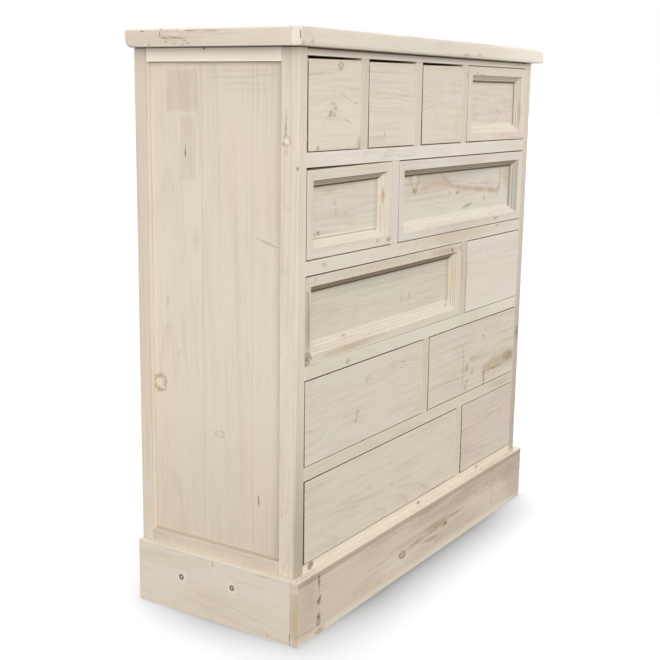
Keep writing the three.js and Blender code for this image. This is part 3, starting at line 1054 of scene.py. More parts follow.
PLINTH_FRONT_MARKS = on_front(
    ("smear", 30, 90, 24, 40, GREY, 0.16),
    ("smear", 28, 122, 28, 8, GREY, 0.45),
    ("stain", 60, 110, 4.6, 14, NAIL_BROWN, 0.95),
    ("crack", 62, 84, 0.8, 34, NAIL_BROWN, 0.45),
    ("stain", 60, 68, 8, 9, NAIL_BROWN, 0.95),
    ("crack", 66, 74, 2.2, 5, NAIL_BROWN, 0.8),
    ("crack", 62, 50, 1.0, 4, NAIL_BROWN, 0.6),
    ("stain", 61, 37, 8, 7, NAIL_BROWN, 0.95),
    ("smear", 59, 27, 8, 9, NAIL_BROWN, 0.5),
    ("ring", 59, 27, 7, 8, NAIL_BROWN, 0.6),
    ("smear", 64, 5, 20, 9, BROWN, 0.8),
    ("stain", 854, 88, 9, 4, BROWN, 0.85),
    ("stain", 846, 72, 4, 8, BROWN, 0.45),
    ("stain", 845, 55, 4.5, 6, BROWN, 0.8),
    ("smear", 842, 36, 7, 12, TAN, 0.6),
    ("smear", 860, 104, 240, 34, EARTH, 0.42),
    ("smear", 1000, 60, 90, 90, EARTH, 0.42),
    ("smear", 20, 70, 50, 90, EARTH, 0.24),
    ("smear", 930, 86, 60, 30, EARTH, 0.3),
    ("smear", 650, 92, 130, 20, EARTH, 0.42),
    ("smear", 560, 70, 90, 12, EARTH, 0.42),
    ("smear", 500, 98, 110, 20, EARTH, 0.36),
    ("smear", 640, 40, 160, 26, EARTH, 0.22),
    ("smear", 520, 113, 110, 6, EARTH, 0.5),
    ("smear", 320, 110, 110, 5, EARTH, 0.4),
    ("smear", 700, 108, 110, 7, EARTH, 0.35),
    ("smear", 420, 70, 120, 7, EARTH, 0.3),
    ("smear", 260, 96, 120, 20, EARTH, 0.16),
    ("smear", 350, 36, 90, 24, CREAM, 0.3),
    ("stain", 389, 49, 12, 8, BROWN, 0.75),
    ("smear", 386, 51, 5, 4, TAN, 0.6),
    ("ring", 389, 49, 13, 8, NAIL_BROWN, 0.8),
    ("stain", 398, 45, 5, 6, NAIL_BROWN, 0.8),
    *streak("smear", 8, NAIL_PALE, 0.6, (402, 55), (500, 58), (585, 62)),
    ("smear", 530, 70, 60, 7, NAIL_PALE, 0.4),
    *streak("smear", 5, NAIL_PALE, 0.6, (470, 46), (570, 38)),
    ("stain", 590, 57, 14, 5, NAIL_BROWN, 0.95),
    ("ring", 583, 60, 15, 8, BROWN, 0.7),
    ("smear", 582, 62, 7, 4, TAN, 0.6),
    ("stain", 642, 66, 50, 4.5, NAIL_BROWN, 0.5),
    ("stain", 562, 30, 34, 2.4, BROWN, 0.6),
    ("stain", 730, 24, 44, 2.4, BROWN, 0.6),
    ("stain", 745, 87, 6, 4, BROWN, 0.7),
    ("stain", 806, 92, 26, 2.5, BROWN, 0.6),
)
END_Y = PLINTH_Y + 6 * MM
PLINTH_END_MARKS = (
    Mark("brushed", (PLINTH_X, END_Y, 0.120), (0.0012, 0.014, 0.014), tone(224, 211, 193), 0.95),
    Mark("smear", (PLINTH_X, END_Y, 0.055), (0.0035, 0.011, 0.075), END_BROWN, 0.95),
)
PLINTH_SIDE_MARKS = on_side(
    ("halo", 87, 74, 14, 14, CREAM, 0.3),
    ("plug", 87, 74, 6.2, 6.2, tone(104, 92, 82), 0.95),
    ("halo", -39, 82, 13, 13, CREAM, 0.3),
    ("plug", -39, 82, 5.6, 5.6, tone(104, 92, 82), 0.95),
    ("crack", 8, 121, 1.3, 8, GREY, 0.8),
    ("smear", 4, 108, 3, 10, CREAM, 0.4),
    ("stain", -112, 124, 20, 2.5, GREY, 0.5),
    ("knot", -124, 8, 2.6, 2.6, BROWN, 0.8),
    ("crack", -175, 14, 1.6, 12, NAIL_BROWN, 0.8),
)


def dress_plinth_front():
    corner = Vector((DIAGONAL, -DIAGONAL, 0))
    lines = (
        # Painted highlight and chalk on the top ledge, a pale band along the foot, and a painted shadow line
        # under the top edge
        seam("z", PLINTH_Z, 2.0, CHALK, 0.65),
        seam("z", 0.0, 20.0, CREAM, 0.4),
        seam("z", 121 * MM, 8.0, EARTH, 0.5),
        Seam(corner, (PLINTH_X - PLINTH_Y) * DIAGONAL, 0.7 * MM, BROWN, 0.75, 0.55),
    )
    marks = PLINTH_FRONT_MARKS + PLINTH_END_MARKS
    coat = LIMED._replace(lines=0.55, brush=1.25, fibre=0.8)
    board = node_board("plinth_front", "x", "y", 401)
    dress_limed("plinth_front", board, 1.6, tone(213, 198, 179), marks, lines, "yz", coat)


def dress_plinth_sides():
    lines = (
        seam("y", PLINTH_SIDE_Y, 0.9, BROWN, 0.7, 0.5),
        # Painted highlight and chalk on the top ledge
        seam("z", PLINTH_Z, 2.0, CREAM, 0.6),
    )
    for node, seed in (("plinth_left", 409), ("plinth_right", 411)):
        board = node_board(node, "y", "x", seed)
        dress_limed(node, board, 1.4, tone(221, 210, 193), PLINTH_SIDE_MARKS, lines, "xz")


# Inside and back

def dress_inside():
    dress_bare("plinth_back", "x", "y", 420, 1.0)
    dress_bare("sub_top", "x", "z", 507, 0.6)
    dress_bare("bottom_board", "x", "z", 512, 0.6)
    for number in range(1, 5):
        dress_bare(f"dust_board_{number}", "x", "z", 510 + number, 0.5)


BACK_BOARDS = 9
HALF_BACK_GAP = 0.5 * MM
BACK_EASING = 1.6 * MM
BACK_GRID_PACE = 60 * MM
BACK_KNOT_COUNTS = (0, 1, 1, 2, 2, 3)
BACK_KNOT_HEIGHTS = (0.2, 1.05)
BACK_KNOT_MARGIN = 15 * MM
BACK_KNOT = tone(132, 92, 58)
NAIL_RADIUS = 2.4 * MM
NAIL_GREY = tone(86, 78, 70)


def back_knots(board, dice):
    knots = []
    for _ in range(dice.choice(BACK_KNOT_COUNTS)):
        x = dice.uniform(board.low.x + BACK_KNOT_MARGIN, board.high.x - BACK_KNOT_MARGIN)
        middle = (x, 0, dice.uniform(*BACK_KNOT_HEIGHTS))
        half = dice.uniform(3, 10) * MM
        size = (half, 0, half * dice.uniform(1.1, 1.8))
        knots.append(Mark("knot", middle, size, BACK_KNOT, dice.uniform(0.35, 0.8)))
    return knots


def dress_back():
    """Upright boards with eased edges, nailed on side by side."""
    low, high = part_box("back_panel")
    width = (high.x - low.x) / BACK_BOARDS
    dice = random.Random(77)
    for number in range(BACK_BOARDS):
        left = low.x + width * number + HALF_BACK_GAP
        board_low = Vector((left, low.y, low.z))
        board_high = Vector((left + width - 2 * HALF_BACK_GAP, high.y, high.z))
        points, faces = worn_block(board_low, board_high, BACK_EASING, BACK_GRID_PACE)
        board = Board("z", "y", board_low, board_high, 540 + number)
        marks = back_knots(board, dice)
        for z in (low.z + 12 * MM, high.z - 10 * MM):
            for share in (0.25, 0.75):
                middle = (left + width * share, 0, z)
                marks.append(Mark("crack", middle, (NAIL_RADIUS, 0, NAIL_RADIUS), NAIL_GREY, 0.9))
        finish = bare(f"back_board_{number + 1}_bare", board, marks)
        new_piece(f"back_board_{number + 1}", points, faces, finish, CARCASS, "bare_pine", "back_panel")


# Drawers

# The gaps round each front in the photograph, in millimetres
Gaps = namedtuple("Gaps", "left right top_left top_right bottom_left bottom_right")
# style: flat, plain for a flat front with little figure, or panelled. back and out: how far the top edge
# sits back and the foot stands out, in millimetres. marks are on the face and panel_marks on a sunk panel.
# foot_line: how dark the painted shade and grime line under the panel is. top_light: 1 where the moulding
# over the panel is as pale as the frame, 0 where painted shade and grime darken it as usual, and less where
# it
# is darker still. right_shade: the tone of the moulding on the right. right_line, gap_below and gap_left:
# how dark the painted shade at its foot and the painted shade and grime in those gaps are. fits: the sides
# of the frame whose widths are the front's own.
Front = namedtuple(
    "Front",
    "style gaps colour back out marks panel_marks foot_line top_light "
    "right_shade right_line gap_below gap_left fits",
    defaults=((), 0.0, 0.0, 0.86, 1.0, 0.5, 0.95, {})
)

# How wide the frame is on each side, and how far in its moulding ends. The CAD has all four sides alike.
Fit = namedtuple("Fit", "frame moulding")
FITS = {
    "bottom": Fit(17 * MM, 37 * MM),
    "right": Fit(22 * MM, 39 * MM),
    "top": Fit(20 * MM, 34.5 * MM),
    "left": Fit(22 * MM, 39 * MM),
}

FRONTS = {
    "1_1": Front("flat", Gaps(3.4, 0.5, 4.9, 3.2, 1.4, 1.4), tone(229, 218, 199), 1.0, 0.0, on_front(
        ("figure", 112, 992, 24, 16),
        ("smear", 137, 1070, 10, 9, OLIVE, 0.5),
        ("ring", 137, 1071, 8, 6, BROWN, 0.6),
        ("smear", 137, 1072, 4, 2.5, CREAM, 0.5),
        ("stain", 113, 1003, 6, 3, OLIVE, 0.85),
        ("stain", 121, 995, 9, 4.6, OLIVE, 1.0),
        ("stain", 105, 989, 6, 4, OLIVE, 0.9),
        ("stain", 103, 984, 9, 4, OLIVE, 1.0),
        ("stain", 117, 984, 5, 4, OLIVE, 0.9),
        *streak("stain", 1.8, OLIVE, 0.5, (136, 1023), (161, 1014), (179, 1006), (206, 1003)),
        *streak("stain", 1.4, OLIVE, 0.35, (152, 1032), (206, 1031)),
        ("smear", 110, 993, 24, 14, TAN, 0.25),
        ("stain", 63, 926, 5, 7, BROWN, 0.8),
        ("smear", 200, 932, 10, 14, TAN, 0.7),
        ("stain", 207, 931, 4, 14, tone(132, 112, 72), 0.9),
        ("stain", 208, 924, 3, 8, DARK, 0.6),
        *streak("stain", 2.2, OLIVE, 0.6, (152, 976), (174, 968)),
    )),
    "1_2": Front("flat", Gaps(3.2, 0.5, 4.7, 3.4, 1.6, 1.6), tone(227, 216, 200), 1.0, 0.0, on_front(
        ("stain", 299, 947, 2.8, 6, OLIVE, 0.9),
        ("stain", 295, 941, 3, 2, OLIVE, 0.7),
        ("smear", 294, 948, 5, 4, CREAM, 0.4),
        *streak("stain", 1.5, OLIVE, 0.5, (256, 1024), (317, 1023), (418, 1017)),
        *streak("stain", 1.4, OLIVE, 0.4, (262, 1037), (330, 1033), (414, 1026)),
        *streak("stain", 1.4, OLIVE, 0.4, (257, 1013), (345, 1014), (415, 1007)),
        *streak("stain", 1.6, OLIVE, 0.35, (264, 994), (318, 996), (392, 993)),
    )),
    "1_3": Front("flat", Gaps(4.4, 0.5, 4.8, 3.0, 1.8, 1.8), tone(226, 215, 198), 1.0, 0.0, on_front(
        ("smear", 612, 975, 16, 45, TAN, 0.15),
        ("smear", 560, 1020, 26, 30, CREAM, 0.2),
    )),
    "1_4": Front("panelled", Gaps(0.8, 0.6, 0.9, 0.7, 2.0, 1.4), tone(228, 216, 201), 0.3, 0.3, on_front(
        ("stain", 948, 985, 5, 30, BROWN, 0.5),
        ("stain", 702, 1070, 12, 4, OLIVE, 0.7),
        ("stain", 735, 1066, 26, 3, OLIVE, 0.6),
    ), on_panel(
        ("smear", 865, 985, 26, 30, BROWN, 0.10),
        ("stain", 821, 951, 16, 3, TAN, 0.6),
    ), top_light=0.75, fits={
        "bottom": Fit(17.5 * MM, 35 * MM),
        "top": Fit(20 * MM, 35.3 * MM),
    }),
    "2_1": Front("panelled", Gaps(1.2, 1.0, 3.8, 0.4, 1.8, 1.4), tone(224, 214, 198), 0.4, 0.3, on_front(
        ("smear", 326, 738, 17, 7, BROWN, 0.8),
        ("stain", 281, 739, 7, 5, GREY, 0.7),
        ("stain", 309, 826, 4, 18, tone(150, 118, 88), 0.75),
        ("stain", 306, 790, 4, 34, TAN, 0.5),
        ("stain", 286, 765, 6, 9, DARK, 0.6),
        ("stain", 189, 730, 3, 4, GREY, 0.3),
        ("smear", 160, 733, 170, 12, CREAM, 0.45),
    ), on_panel(
        ("stain", 66, 774, 4.5, 5, DARK, 0.7),
        ("ring", 64, 767, 10, 7, TAN, 0.5),
        ("smear", 123, 824, 6, 5, GREY, 0.5),
        ("smear", 125, 811, 6, 5, GREY, 0.45),
        ("smear", 127, 803, 10, 3, GREY, 0.35),
        ("smear", 161, 803, 8, 4, GREY, 0.3),
        ("smear", 100, 848, 30, 7, OLIVE, 0.3),
    ), foot_line=0.6, top_light=0.3, right_shade=1.0, right_line=0.1, gap_below=1.0, gap_left=0.7, fits={
        "bottom": Fit(19.5 * MM, 35.5 * MM),
        "right": Fit(17.5 * MM, 39 * MM),
    }),
    "2_2": Front("panelled", Gaps(0.8, 0.6, 1.3, 1.5, 1.5, 1.4), tone(224, 215, 203), 0.3, 0.3, on_front(
        ("smear", 830, 740, 16, 5, BROWN, 0.75),
        ("smear", 815, 750, 14, 5, PINK, 0.4),
        ("stain", 920, 796, 4, 24, BROWN, 0.7),
        ("stain", 935, 800, 3, 40, OLIVE, 0.5),
        ("smear", 690, 742, 300, 9, GREY, 0.2),
        ("smear", 650, 733, 330, 14, TAN, 0.25),
    ), on_panel(
        ("smear", 500, 846, 130, 26, TAN, 0.5),
        ("smear", 560, 832, 110, 14, TAN, 0.45),
        ("smear", 480, 866, 90, 10, OLIVE, 0.4),
        ("smear", 427, 856, 11, 16, CREAM, 0.5),
        ("stain", 429, 827, 14, 7, BROWN, 0.9),
        ("smear", 880, 838, 26, 30, TAN, 0.7),
        ("smear", 905, 815, 32, 34, TAN, 0.5),
        # Painted shade under the top moulding
        ("smear", 660, 850, 300, 14, GREY, 0.28),
        ("smear", 790, 828, 60, 16, TAN, 0.4),
        *streak("smear", 5, OLIVE, 0.7, (404, 868), (414, 842), (428, 824), (441, 842), (448, 866)),
        *streak("smear", 6, TAN, 0.7, (440, 822), (500, 836), (545, 838), (600, 828)),
        *streak("smear", 5, OLIVE, 0.6, (545, 862), (556, 848), (575, 840), (607, 826), (650, 822)),
        *streak(
            "smear", 9, TAN, 0.75,
            (600, 824), (684, 817), (780, 808), (836, 802), (848, 822), (846, 858)
        ),
        *streak("smear", 7, BROWN, 0.5, (650, 821), (700, 818), (760, 813), (830, 805), (846, 816)),
        *streak("stain", 2, OLIVE, 0.5, (655, 834), (720, 826), (800, 822)),
        ("knot", 588, 813, 6, 5, OLIVE, 0.9),
        ("stain", 626, 812, 10, 5, BROWN, 0.95),
        *streak("smear", 6, tone(160, 148, 112), 0.9, (655, 777), (700, 783)),
        ("stain", 763, 791, 4.5, 12, OLIVE, 0.95),
    ), right_shade=0.7, right_line=1.2, gap_left=0.75, fits={
        "bottom": Fit(16.5 * MM, 35 * MM),
        "right": Fit(18 * MM, 45.5 * MM),
        "top": Fit(20.7 * MM, 36 * MM),
    }),
    "3_1": Front("panelled", Gaps(0.6, 1.0, 1.6, 0.6, 0.3, 0.7), tone(219, 209, 191), 0.3, 0.2, on_front(
        ("smear", 37, 610, 9, 80, tone(146, 122, 96), 0.85),
        ("knot", 33, 546, 15, 11, DARK, 0.9),
        ("stain", 33, 546, 9, 6, DARK, 0.85),
        ("stain", 35, 662, 4, 15, BROWN, 0.95),
        ("stain", 38, 590, 3, 20, BROWN, 0.7),
        ("stain", 178, 565, 9, 4, OLIVE, 0.9),
        ("stain", 150, 571, 7, 3, OLIVE, 0.6),
        ("stain", 342, 573, 6, 3, BROWN, 0.6),
        ("stain", 604, 564, 10, 4, OLIVE, 0.85),
        ("stain", 617, 590, 4, 20, BROWN, 0.5),
        ("stain", 62, 690, 5, 4, BROWN, 0.5),
        ("smear", 170, 541, 100, 7, TAN, 0.65),
        ("smear", 210, 547, 150, 8, BROWN, 0.3),
        ("smear", 585, 687, 80, 8, tone(186, 152, 124), 0.75),
        ("smear", 320, 689, 220, 10, TAN, 0.45),
        ("smear", 629, 630, 11, 60, TAN, 0.45),
        ("stain", 612, 686, 9, 6, DARK, 0.7),
        *streak("smear", 1.7, CHALK, 0.95, (30, 534), (140, 534), (270, 534)),
        ("stain", 652, 686, 6, 10, BROWN, 0.7),
    ), on_panel(
        ("stain", 416, 613, 6, 12, TAN, 0.8),
        ("smear", 385, 610, 10, 9, GREY, 0.35),
        ("smear", 202, 612, 16, 24, TAN, 0.25),
        # Painted shade under the top moulding
        ("smear", 330, 660, 290, 14, GREY, 0.28),
    ), top_light=-0.28, right_shade=0.95, right_line=0.25, gap_below=0.0, gap_left=0.4, fits={
        "left": Fit(17.5 * MM, 35 * MM),
        "right": Fit(17.5 * MM, 41 * MM),
    }),
    "3_2": Front("plain", Gaps(1.6, 0.6, 1.3, 1.3, 0.9, 0.9), tone(225, 215, 202), 0.3, 0.2, on_front(
        ("stain", 686, 628, 5, 40, BROWN, 0.55),
        ("stain", 684, 560, 4, 25, BROWN, 0.5),
        ("smear", 790, 662, 8, 6, GREY, 0.2),
    )),
    "4_1": Front("flat", Gaps(1.4, 0.6, 1.8, 1.4, 1.1, 1.4), tone(219, 209, 193), 0.3, 0.3, on_front(
        ("figure", 400, 462, 70, 9),
        ("smear", 251, 464, 9, 11, GREY, 0.45),
        ("smear", 266, 468, 8, 10, GREY, 0.3),
        *streak("stain", 5.2, OLIVE, 0.9, (219, 412), (211, 388)),
        *streak("stain", 1.5, OLIVE, 0.5, (347, 486), (372, 478), (419, 470), (490, 462)),
        *streak("stain", 1.5, OLIVE, 0.5, (330, 481), (390, 466), (426, 463), (486, 454)),
        *streak("stain", 1.5, OLIVE, 0.45, (341, 472), (376, 467), (405, 457), (475, 449)),
        *streak("stain", 1.5, OLIVE, 0.4, (437, 475), (490, 468)),
        ("stain", 210, 387, 4, 5, BROWN, 0.5),
        ("stain", 60, 330, 40, 2, GREY, 0.4),
    )),
    "4_2": Front("flat", Gaps(2.8, 0.6, 1.4, 1.6, 1.4, 1.6), tone(216, 206, 189), 0.3, 0.3, on_front(
        ("stain", 686, 400, 5, 70, BROWN, 0.5),
        ("smear", 706, 398, 11, 14, OLIVE, 0.8),
        ("ring", 706, 400, 10, 10, OLIVE, 0.5),
        ("stain", 709, 368, 5, 5, BROWN, 0.8),
        ("smear", 703, 353, 11, 14, OLIVE, 0.7),
        ("smear", 735, 384, 9, 10, GREY, 0.6),
        ("smear", 733, 418, 8, 10, GREY, 0.4),
        ("stain", 792, 461, 8, 7, GREY, 0.7),
        ("smear", 885, 385, 96, 20, OLIVE, 0.85),
        ("smear", 822, 376, 30, 16, OLIVE, 0.75),
        ("smear", 944, 386, 42, 20, tone(146, 122, 82), 0.85),
        ("stain", 872, 372, 60, 4, tone(140, 120, 84), 0.6),
        ("stain", 801, 370, 9, 20, BROWN, 0.8),
        ("stain", 802, 348, 7, 16, BROWN, 0.9),
        ("smear", 930, 352, 45, 6, CREAM, 0.3),
        ("smear", 920, 482, 40, 10, CREAM, 0.3),
    )),
    "5_1": Front("flat", Gaps(3.4, 0.6, 1.8, 1.4, 1.2, 1.6), tone(217, 207, 188), 0.3, 0.3, on_front(
        ("smear", 266, 235, 9, 7, OLIVE, 0.35),
        ("smear", 364, 213, 10, 6, OLIVE, 0.25),
        ("figure", 420, 250, 70, 10),
    )),
    "5_2": Front("flat", Gaps(4.2, 0.6, 1.0, 1.0, 1.4, 1.6), tone(211, 199, 183), 0.3, 0.3, on_front(
        ("stain", 706, 222, 5, 9, BROWN, 0.8),
        ("smear", 700, 222, 10, 12, CREAM, 0.3),
        ("stain", 905, 246, 20, 6, GREY, 0.4),
    )),
}


STRIP_STATIONS = 14

# The hand planed face waves by this much, over this length, as far back as the reach
WAVE = 0.2 * MM
WAVE_LENGTH = 40 * MM
WAVE_REACH = 20 * MM


class FrontShape:
    """A drawer front's own place: its nominal rectangle and the leaning one that it fills."""

    def __init__(self, key, front):
        low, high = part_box(f"drawer_{key}_front")
        gaps = front.gaps
        self.low, self.high, self.front = low, high, front
        self.fits = {**FITS, **front.fits}
        left, right = low.x - CAD_SIDE_GAP, high.x + CAD_SIDE_GAP
        bottom, top = low.z - CAD_BOTTOM_GAP, high.z + CAD_TOP_GAP
        self.corners = (
            (left + gaps.left * MM, bottom + gaps.bottom_left * MM),
            (right - gaps.right * MM, bottom + gaps.bottom_right * MM),
            (right - gaps.right * MM, top - gaps.top_right * MM),
            (left + gaps.left * MM, top - gaps.top_left * MM),
        )

    def fitted(self, depth_in):
        """A distance in from the outline, stretched to the widths on the left, right, bottom and top."""
        stretched = []
        for word in ("left", "right", "bottom", "top"):
            fit = self.fits[word]
            if depth_in <= FRAME_WIDTH:
                stretched.append(depth_in * fit.frame / FRAME_WIDTH)
            else:
                share = (depth_in - FRAME_WIDTH) / MOULDING_WIDTH
                stretched.append(fit.frame + share * (fit.moulding - fit.frame))
        return stretched

    def gap_shade_and_grime(self):
        """Painted shade and grime on the front's sides, where the gaps round it are."""
        sides = ((self.front.gap_below, 0.35), (0.1, 0.5), (0.9, 0.1), (self.front.gap_left, 0.5))
        shade_and_grime_seams = []
        for side, (strength, broken) in enumerate(sides):
            start, end = self.corners[side], self.corners[(side + 1) % 4]
            line = seam_between(start, end, 1.2, SHADE_AND_GRIME, strength, broken)
            shade_and_grime_seams.append(line._replace(behind=GAP_SHADE_AND_GRIME_DEPTH))
        return tuple(shade_and_grime_seams)

    def moulding_foot(self):
        """The corners of the line where the moulding meets the panel."""
        return self.inset(FRAME_WIDTH + MOULDING_SHARES[-1][0] * MOULDING_WIDTH)

    def panel_shade_and_grime(self):
        """The lines round a sunk panel, at the moulding's foot: pale below, and painted shade and grime all
        round.
        """
        foot = self.moulding_foot()
        lines = (
            (0, 9.0, CREAM, 0.5),
            (1, 2.4, DARK, 0.75 * self.front.right_line, 0.3),
            (2, 2.6, DARK, 0.85),
            (3, 1.5, DARK, 0.5, 0.3),
            (0, 2.2, DARK, self.front.foot_line, 0.2),
            (1, 14.0, DARK, 0.15),
            (2, 9.0, DARK, 0.2),
        )
        return tuple(seam_between(foot[side], foot[(side + 1) % 4], *line) for side, *line in lines)

    def lean(self, up):
        """How far the face stands back here, as a change of Y. up runs from 0 to 1."""
        return (self.front.back * up - self.front.out * (1 - up)) * MM

    def at(self, across, up, y):
        """A point of the leaning front, from its shares of the width and height."""
        foot = [self.corners[0][i] * (1 - across) + self.corners[1][i] * across for i in range(2)]
        head = [self.corners[3][i] * (1 - across) + self.corners[2][i] * across for i in range(2)]
        x, z = (foot[i] * (1 - up) + head[i] * up for i in range(2))
        return Vector((x, y + self.lean(up), z))

    def inset(self, depth_in):
        """The corners of the front's outline drawn in by a distance."""
        left, right, bottom, top = self.fitted(depth_in)
        drawn_in = ((left, bottom), (-right, bottom), (-right, -top), (left, -top))
        return [(corner[0] + x, corner[1] + z) for corner, (x, z) in zip(self.corners, drawn_in)]

    def block(self, depth_in, y0, y1, radius):
        """A worn board over the front, drawn in by a distance and from y0 to y1 behind the face."""
        left, right, bottom, top = self.fitted(depth_in)
        low = Vector((self.low.x + left, FACE_Y + y0, self.low.z + bottom))
        high = Vector((self.high.x - right, FACE_Y + y1, self.high.z - top))
        points, faces = worn_block(low, high, radius)
        wide, tall = self.high.x - self.low.x, self.high.z - self.low.z
        moved = [self.at((p.x - self.low.x) / wide, (p.z - self.low.z) / tall, p.y) for p in points]
        return moved, faces

    def strip(self, side, section, gap):
        """One mitred side of a frame. section holds (in from the outline, behind the face) in metres."""
        points = []
        for station in range(STRIP_STATIONS + 1):
            for depth_in, behind in section:
                corners = self.inset(depth_in)
                start, end = corners[side], corners[(side + 1) % 4]
                length = math.dist(start, end)
                run = (gap + (length - 2 * gap) * station / STRIP_STATIONS) / length
                x = start[0] + (end[0] - start[0]) * run
                z = start[1] + (end[1] - start[1]) * run
                up = (z - self.corners[0][1]) / (self.corners[3][1] - self.corners[0][1])
                y = FACE_Y + behind + self.lean(up)
                if behind < WAVE_REACH:
                    y += WAVE * noise.noise(Vector((x, depth_in, z)) / WAVE_LENGTH)
                points.append(Vector((x, y, z)))
        size = len(section)
        faces = []
        for station in range(STRIP_STATIONS):
            for i in range(size):
                a = station * size + i
                b = station * size + (i + 1) % size
                faces.append((a, b, b + size, a + size))
        faces.append(tuple(range(size)))
        faces.append(tuple(STRIP_STATIONS * size + i for i in reversed(range(size))))
        return points, faces


def frame_section():
    """A frame member: eased front edges, full depth."""
    ease = 1.2 * MM
    inner = FRAME_WIDTH - 0.1 * MM
    return [
        (0, 2 * ease), (0, ease), (0.3 * ease, 0.3 * ease), (ease, 0), (1.8 * ease, 0),
        (FRAME_WIDTH - 1.6 * MM, 0), (FRAME_WIDTH - 0.8 * MM, 0), (FRAME_WIDTH - 0.25 * MM, 0.3 * MM),
        (inner, 0.9 * MM), (inner, 1.8 * MM), (inner, FRONT_DEPTH), (0, FRONT_DEPTH),
    ]


# The moulding: how far across it from the frame to the panel, and how deep, as shares
MOULDING_SHARES = (
    (0.0, 0.05), (0.02, 0.16), (0.05, 0.22), (0.09, 0.21), (0.13, 0.22), (0.17, 0.27), (0.20, 0.34),
    (0.24, 0.40), (0.27, 0.41), (0.31, 0.42), (0.35, 0.47), (0.39, 0.55), (0.45, 0.61), (0.50, 0.64),
    (0.54, 0.645), (0.56, 0.69), (0.74, 0.71), (0.78, 0.72), (0.81, 0.76), (0.83, 0.83), (0.85, 1.0),
)


def moulding_section():
    points = [
        (FRAME_WIDTH + across * MOULDING_WIDTH, deep * PANEL_RECESS) for across, deep in MOULDING_SHARES
    ]
    return points + [(FRAME_WIDTH, PANEL_RECESS)]


# On each side of a front: how dark the painted shade at the moulding's foot and in its grooves is, how
# bright the painted highlights and chalk on its ridges and its outer part are, and its colour as shares of
# the frame's: paler below as painted light, and darker above as painted shade and grime
Trim = namedtuple("Trim", "foot groove ridge outer shade")
TRIMS = {
    "bottom": Trim(0.0, 0.09, 0.3, 0.7, (1.08, 1.08, 1.08)),
    "right": Trim(0.35, 0.35, 0.35, 0.3, (1.0, 0.985, 0.955)),
    "top": Trim(0.9, 0.6, 0.0, 0.0, (0.66, 0.58, 0.5)),
    "left": Trim(0.6, 0.5, 0.0, 0.0, (1.0, 1.0, 1.0)),
}
SIDE_WORDS = ("bottom", "right", "top", "left")
UPRIGHT_WORDS = ("right", "left")
TOP_FOOT_SHADE = tone(44, 32, 20)


def moulding_seams(trim):
    """Painted highlights and chalk on a moulding's ridges, and painted shade at its foot and in its grooves,
    each at a share of the way back from the face to the panel.
    """
    lines = (
        (0.15, 2.2, CREAM, trim.outer),
        (0.46, 0.8, CREAM, trim.ridge),
        (0.69, 0.6, CREAM, trim.ridge),
        (0.97, 2.6, DARK, trim.foot),
        (0.22, 1.0, DARK, trim.groove),
        (0.42, 0.9, DARK, trim.groove * 0.8),
        (0.64, 0.8, DARK, trim.groove),
    )
    return tuple(seam("y", FACE_Y + share * PANEL_RECESS, *line) for share, *line in lines)


def front_trim(front, word):
    """A moulding's trim and colour, with the painted shade on the top moulding eased by the front's
    top_light, and the moulding on the right in its own tone and line strength.
    """
    trim = TRIMS[word]
    shade = trim.shade
    if word == "right":
        line = front.right_line
        shade = [part * front.right_shade for part in shade]
        trim = trim._replace(foot=trim.foot * line, groove=trim.groove * (0.6 + 0.4 * line))
    if word == "top":
        shade = [part + (1 - part) * front.top_light for part in shade]
        trim = trim._replace(groove=trim.groove * (1 - 0.6 * front.top_light))
    return trim, scaled(front.colour, *shade)


# How far a front's pieces stand back from the face and from each other, and how far their edges are eased
FACE_CLEARANCE = 0.1 * MM
PANEL_CLEARANCE = 0.2 * MM
FRAME_MITRE = 0.12 * MM
MOULDING_MITRE = 0.1 * MM
FRONT_EASING = 1.3 * MM
PANEL_EASING = 0.6 * MM


def front_piece(key, word, skin, finish):
    """One piece of a drawer front. skin holds its points and faces."""
    body = f"drawer_{key}"
    new_piece(f"{body}_{word}", *skin, finish, body, "limed_front", f"{body}_front")


def dress_flat_front(key, front, shape, board):
    coat = LIVELY if front.style == "flat" else LIMED._replace(lines=0.15)
    shade_and_grime_seams = shape.gap_shade_and_grime()
    finish = limed(f"drawer_{key}_limed", board, front.colour, front.marks, shade_and_grime_seams, AXES, coat)
    front_piece(key, "board", shape.block(0, FACE_CLEARANCE, FRONT_DEPTH, FRONT_EASING), finish)


